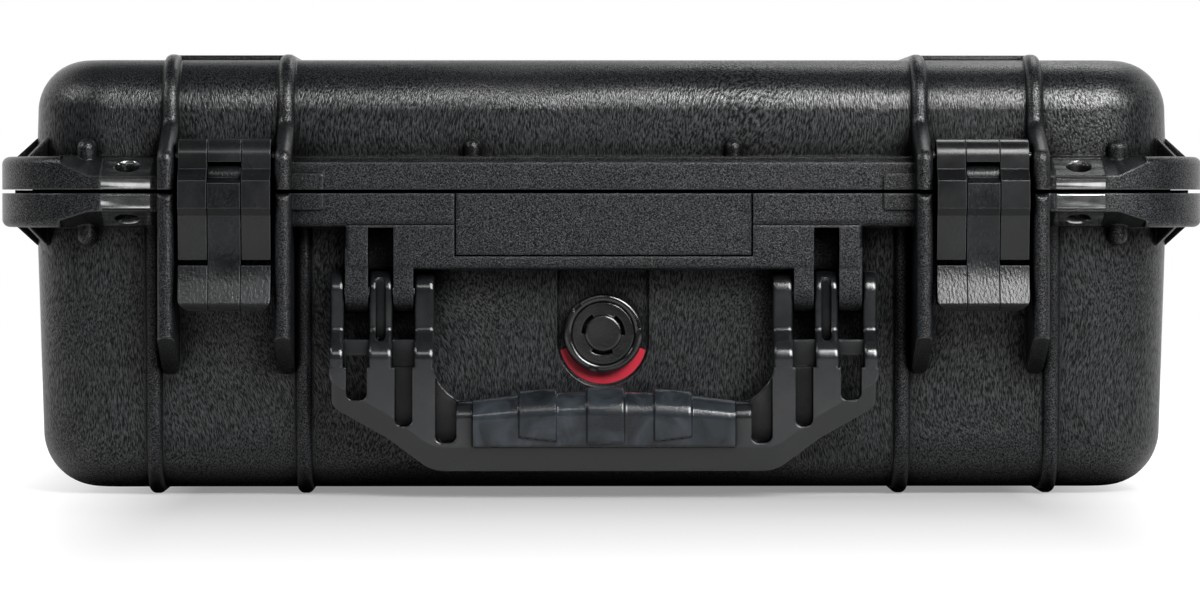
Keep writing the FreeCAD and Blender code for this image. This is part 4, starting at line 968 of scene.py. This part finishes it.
@dataclass
class PluckFoam(FoamBlock):
    """Pick-out foam layer: scored into square cells, with one pocket plucked out."""

    cell: float = 12.7
    pocket_cells: tuple[int, int] = (17, 10)
    score_depth: float = 1.3
    score_half: float = 0.45
    wall_score_depth: float = 0.8
    sag_rates: Pair = (0.9, 0.7)             # radians for each millimetre
    line_places: tuple[float, ...] = (-0.5, -0.22, -0.036, 0.0, 0.036, 0.22)   # shares of a cell
    wall_steps: int = 5
    slack: float = 0.01
    scored: bool = True

    def lines(self) -> Arrays:
        """Grid lines on each score, beside it and through each cell's middle."""
        found = []
        places = np.array(self.line_places if self.scored else (-0.5, 0.0))
        for half, count in zip((self.half_length, self.half_width), self.pocket_cells):
            reach = math.ceil(half / self.cell) + 1
            marks = (np.arange(-reach, reach + 1) + (count % 2) / 2) * self.cell
            values = (marks[:, None] + places * self.cell).ravel()
            values = values[np.abs(values) < half]
            found.append(np.unique(np.round(np.concatenate([[-half], values, [half]]), 4)))
        return found[0], found[1]

    def score(self, value: Array, count: int) -> Array:
        """Share of the score's depth: 1 on a cell's border, 0 a little beside it."""
        off = value / self.cell - (count % 2) / 2
        distance = np.abs(off - np.round(off)) * self.cell
        return np.clip(1 - distance / self.score_half, 0, 1)

    def relief(self, x: Array, y: Array) -> Array:
        """Depth of the scores, which are V-shaped, with a faint sag of each cell."""
        long_count, wide_count = self.pocket_cells
        rate_x, rate_y = self.sag_rates
        score = np.maximum(self.score(x, long_count), self.score(y, wide_count))
        sag = self.wave_depth * (1 + np.sin(x * rate_x + np.floor(y / self.cell))
                                 * np.sin(y * rate_y + np.floor(x / self.cell)))
        return (score * self.score_depth + sag) * self.scored

    def layers(self) -> list[Surface]:
        """Surfaces of a layer with its pocket: faces inside it go, and walls with score lines come."""
        (shown, quads), (back, _), sides = super().layers()
        long_count, wide_count = self.pocket_cells
        half_x, half_y = (count * self.cell / 2 for count in self.pocket_cells)
        plan = shown.reshape(-1, 3)
        middle = plan[quads].mean(axis=1)
        kept = quads[(np.abs(middle[:, 0]) > half_x) | (np.abs(middle[:, 1]) > half_y)]
        lines_x, lines_y = self.lines()
        numbers = np.arange(len(plan)).reshape(shown.shape[:2])
        inner = numbers[np.ix_(np.abs(lines_x) < half_x + self.slack, np.abs(lines_y) < half_y + self.slack)]
        ring = inner.ravel()[self.outline(*inner.shape)]
        upper, lower = plan[ring], back.reshape(-1, 3)[ring]
        shares = np.linspace(0, 1, self.wall_steps)[:, None, None]
        walls = upper[None] * (1 - shares) + lower[None] * shares
        on_long_wall = np.abs(np.abs(upper[:, 1]) - half_y) < self.slack
        along = np.where(on_long_wall, self.score(upper[:, 0], long_count),
                         self.score(upper[:, 1], wide_count))
        cut = along * self.wall_score_depth * self.scored
        walls[1:-1, :, 0] += np.where(on_long_wall, 0, np.sign(upper[:, 0])) * cut
        walls[1:-1, :, 1] += np.where(on_long_wall, np.sign(upper[:, 1]), 0) * cut
        return [(shown, kept), (back, kept), sides,
                (walls, grid_faces(self.wall_steps, len(ring), wrap=True))]


# Studio

@dataclass(frozen=True)
class Softbox:
    """Rectangular lamp; its power is radiance times pi times its area."""

    name: str
    place: Triple
    target: Triple
    size: Pair
    radiance: float          # how bright its face is, where 1 is white

    def hang(self) -> None:
        """Hang the lamp and turn it to its target."""
        data = bpy.data.lights.new(self.name, "AREA")
        data.shape = "RECTANGLE"
        data.size, data.size_y = self.size
        data.energy = self.radiance * math.pi * self.size[0] * self.size[1]
        lamp = make_object(self.name, data)
        lamp.location = self.place
        away = np.array(self.place) - np.array(self.target)
        lamp.rotation_euler = (math.atan2(math.hypot(away[0], away[1]), away[2]), 0.0,
                               math.atan2(away[0], -away[1]))


@dataclass
class Studio:
    """Camera, floor, soft lamps and white surroundings of a plain product photograph."""

    camera_place: Triple = (-0.025, -2.067, 0.1184)
    lens: float = 148.4
    sensor: float = 36.0
    clip: Pair = (0.05, 60.0)
    look_down: float = 1.2
    look_right: float = 0.71
    floor_radius: float = 1.3
    floor_sides: int = 96
    softboxes: tuple[Softbox, ...] = (
        Softbox("key_softbox", (0.68, -1.75, 1.08), (0.0, -0.15, 0.12), (0.85, 0.98), 20.0),
        Softbox("fill_softbox", (-0.35, -1.85, 1.0), (0.0, -0.15, 0.12), (0.9, 0.3), 3.0),
        Softbox("top_softbox", (0.45, 0.75, 1.45), (0.0, 0.0, 0.1), (0.7, 0.6), 4.0),
        Softbox("right_softbox", (1.3, -1.15, 0.78), (0.1, -0.1, 0.12), (0.5, 0.7), 7.0),
        Softbox("left_softbox", (-1.4, -0.6, 1.0), (-0.1, 0.0, 0.12), (0.4, 0.5), 11.0))
    ambient: float = 0.15
    room: float = 0.06
    backdrop_y: Pair = (-0.2, 0.5)   # parts of the direction where the backdrop begins and is full
    backdrop_z: Pair = (0.72, 0.60)

    def place_camera(self) -> None:
        """Make the camera at the photograph's viewing angle."""
        data = bpy.data.cameras.new("camera")
        data.lens = self.lens
        data.sensor_width = self.sensor
        data.clip_start, data.clip_end = self.clip
        camera = make_object("camera", data)
        camera.location = self.camera_place
        camera.rotation_euler = (math.radians(90 - self.look_down), 0.0, math.radians(-self.look_right))
        bpy.context.scene.camera = camera

    def lay_floor(self) -> None:
        """Make the round floor."""
        turn = np.linspace(0, math.tau, self.floor_sides, endpoint=False)
        rim = np.stack([np.cos(turn), np.sin(turn), np.zeros_like(turn)], axis=1) * self.floor_radius
        mesh = bpy.data.meshes.new("floor")
        mesh.from_pydata(rim.tolist(), [], [list(range(len(rim)))])
        mesh.materials.append(GlowingFloor().build())
        floor = make_object("floor", mesh)

    def surround(self) -> None:
        """Set the surroundings.

        The camera sees them white. Reflections see the white backdrop behind the case at the level
        of the horizon, and a grey room above and behind the camera.
        """
        world = bpy.data.worlds.new("surroundings")
        net = Net(world)
        rays = net.add("LightPath").outputs
        view = net.add("TexCoord").outputs["Generated"]
        toward = net.add("SeparateXYZ", {0: view}).outputs
        behind = net.add("MapRange", {"Value": toward["Y"], 1: self.backdrop_y[0], 2: self.backdrop_y[1]})
        low = net.add("MapRange", {"Value": toward["Z"], 1: self.backdrop_z[0], 2: self.backdrop_z[1]})
        backdrop = net.chain(behind, ("MULTIPLY", low))
        mirrored = net.add("MapRange", {"Value": backdrop, 3: self.room, 4: 1.0})
        direct = net.chain(rays["Is Camera Ray"], ("MAXIMUM", rays["Is Transmission Ray"]))
        shown = net.add("MapRange", {"Value": direct, 3: mirrored, 4: 1.0})
        strength = net.add("MapRange", {"Value": net.seen_directly(), 3: self.ambient, 4: shown})
        background = net.add("Background", {"Color": WHITE, "Strength": strength})
        net.add("OutputWorld", {"Surface": background})
        bpy.context.scene.world = world
        bpy.context.scene.view_settings.view_transform = "Standard"

    def build(self) -> None:
        """Set up the whole studio."""
        self.place_camera()
        self.lay_floor()
        for softbox in self.softboxes:
            softbox.hang()
        self.surround()


# The case

class HardCase:
    """Finishes of all the kept nodes, and the soft pieces that replace the plain ones."""

    @staticmethod
    def dress(names: Sequence[str], finish: Finish, sides: Sequence[str] = ("",)) -> None:
        """Give CAD nodes one finish.

        Args:
            names: node names without their side.
            finish: the finish.
            sides: endings of the names.
        """
        material = finish.build()
        for name in (name + side for name in names for side in sides):
            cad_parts[name].material_slots[0].material = material
            LOG.info("%s: dressed in %s", name, material.name)

    def dress_frame(self) -> None:
        """Dress every rigid node."""
        self.dress(["base_shell", "lid_shell"], ShellPolypropylene())
        sides = ("_left", "_right")
        self.dress(["latch_body"], MouldedNylon(
            "satin_latch_nylon", "#0d0e0f", "#17181a", 0.25, 1.4, 0.04, shine=0.5), sides)
        self.dress(["latch_lever"], MouldedNylon(
            "grained_lever_nylon", "#0c0d0e", "#1c1e20", 0.24, 0.9, 0.32, (1.0, 1.0, 0.5), shine=0.36), sides)
        self.dress(["handle_frame"], MouldedNylon(
            "polished_handle_nylon", "#131517", "#1b1d1f", 0.14, 2.5, 0.012,
            edge_colour="#1b1d1f", edge_round=1.2, shine=1.0))
        self.dress(["valve_body", "valve_cap", "valve_nut"], MouldedNylon(
            "valve_nylon", "#0b0c0d", "#141516", 0.13, 1.2, 0.02,
            edge_colour="#17181a", edge_round=0.8, shine=1.0, slot_reach=3.0))
        self.dress(["hinge_pin", "lid_lock_plate", "base_lock_plate", "handle_pin"], BrightSteel(), sides)
        self.dress(["latch_pivot_pin", "latch_lever_pin"],
                   BrightSteel("dark_pin_steel", "#3b3b3a", "#232323"), sides)
        self.dress(["valve_label"], LabelFilm())
        self.dress(["valve_membrane"], VentFilm())

    def add_soft_pieces(self) -> None:
        """Build the foam set, the seal, the washer and the grip."""
        seal = SoftRubber("neoprene_seal", "#101112", "#1c1d1e", 0.7).build()
        LidSeal().build(seal)
        ValveGasket().build(seal)
        HandleGrip().build(SoftRubber("satin_grip_rubber", "#181b1e", "#30353a", 0.17).build())
        foam = FoamCells("charcoal_polyurethane_foam", "#17181a", "#3d3f42", 1.1).build()
        FoamBlock("foam_pad", "base_foam_pad", Body.BASE, 20.0, 7.8, 7.8).build(foam)
        PluckFoam("pluck_foam_lower", "base_foam_lower", Body.BASE, 68.1, 20.3, 7.8, scored=False).build(foam)
        PluckFoam("pluck_foam_upper", "base_foam_upper", Body.BASE, 116.2, 68.4, 7.8).build(foam)
        EggCrateFoam("egg_crate_foam", "lid_foam", Body.LID, 121.5, 164.5, 164.5, edge_round=15.4).build(foam)


def main() -> None:
    """Build the studio and the case."""
    logging.basicConfig(level=logging.INFO, format="%(name)s: %(message)s")
    Studio().build()
    case = HardCase()
    case.dress_frame()
    case.add_soft_pieces()


if __name__ == "__main__":
    main()
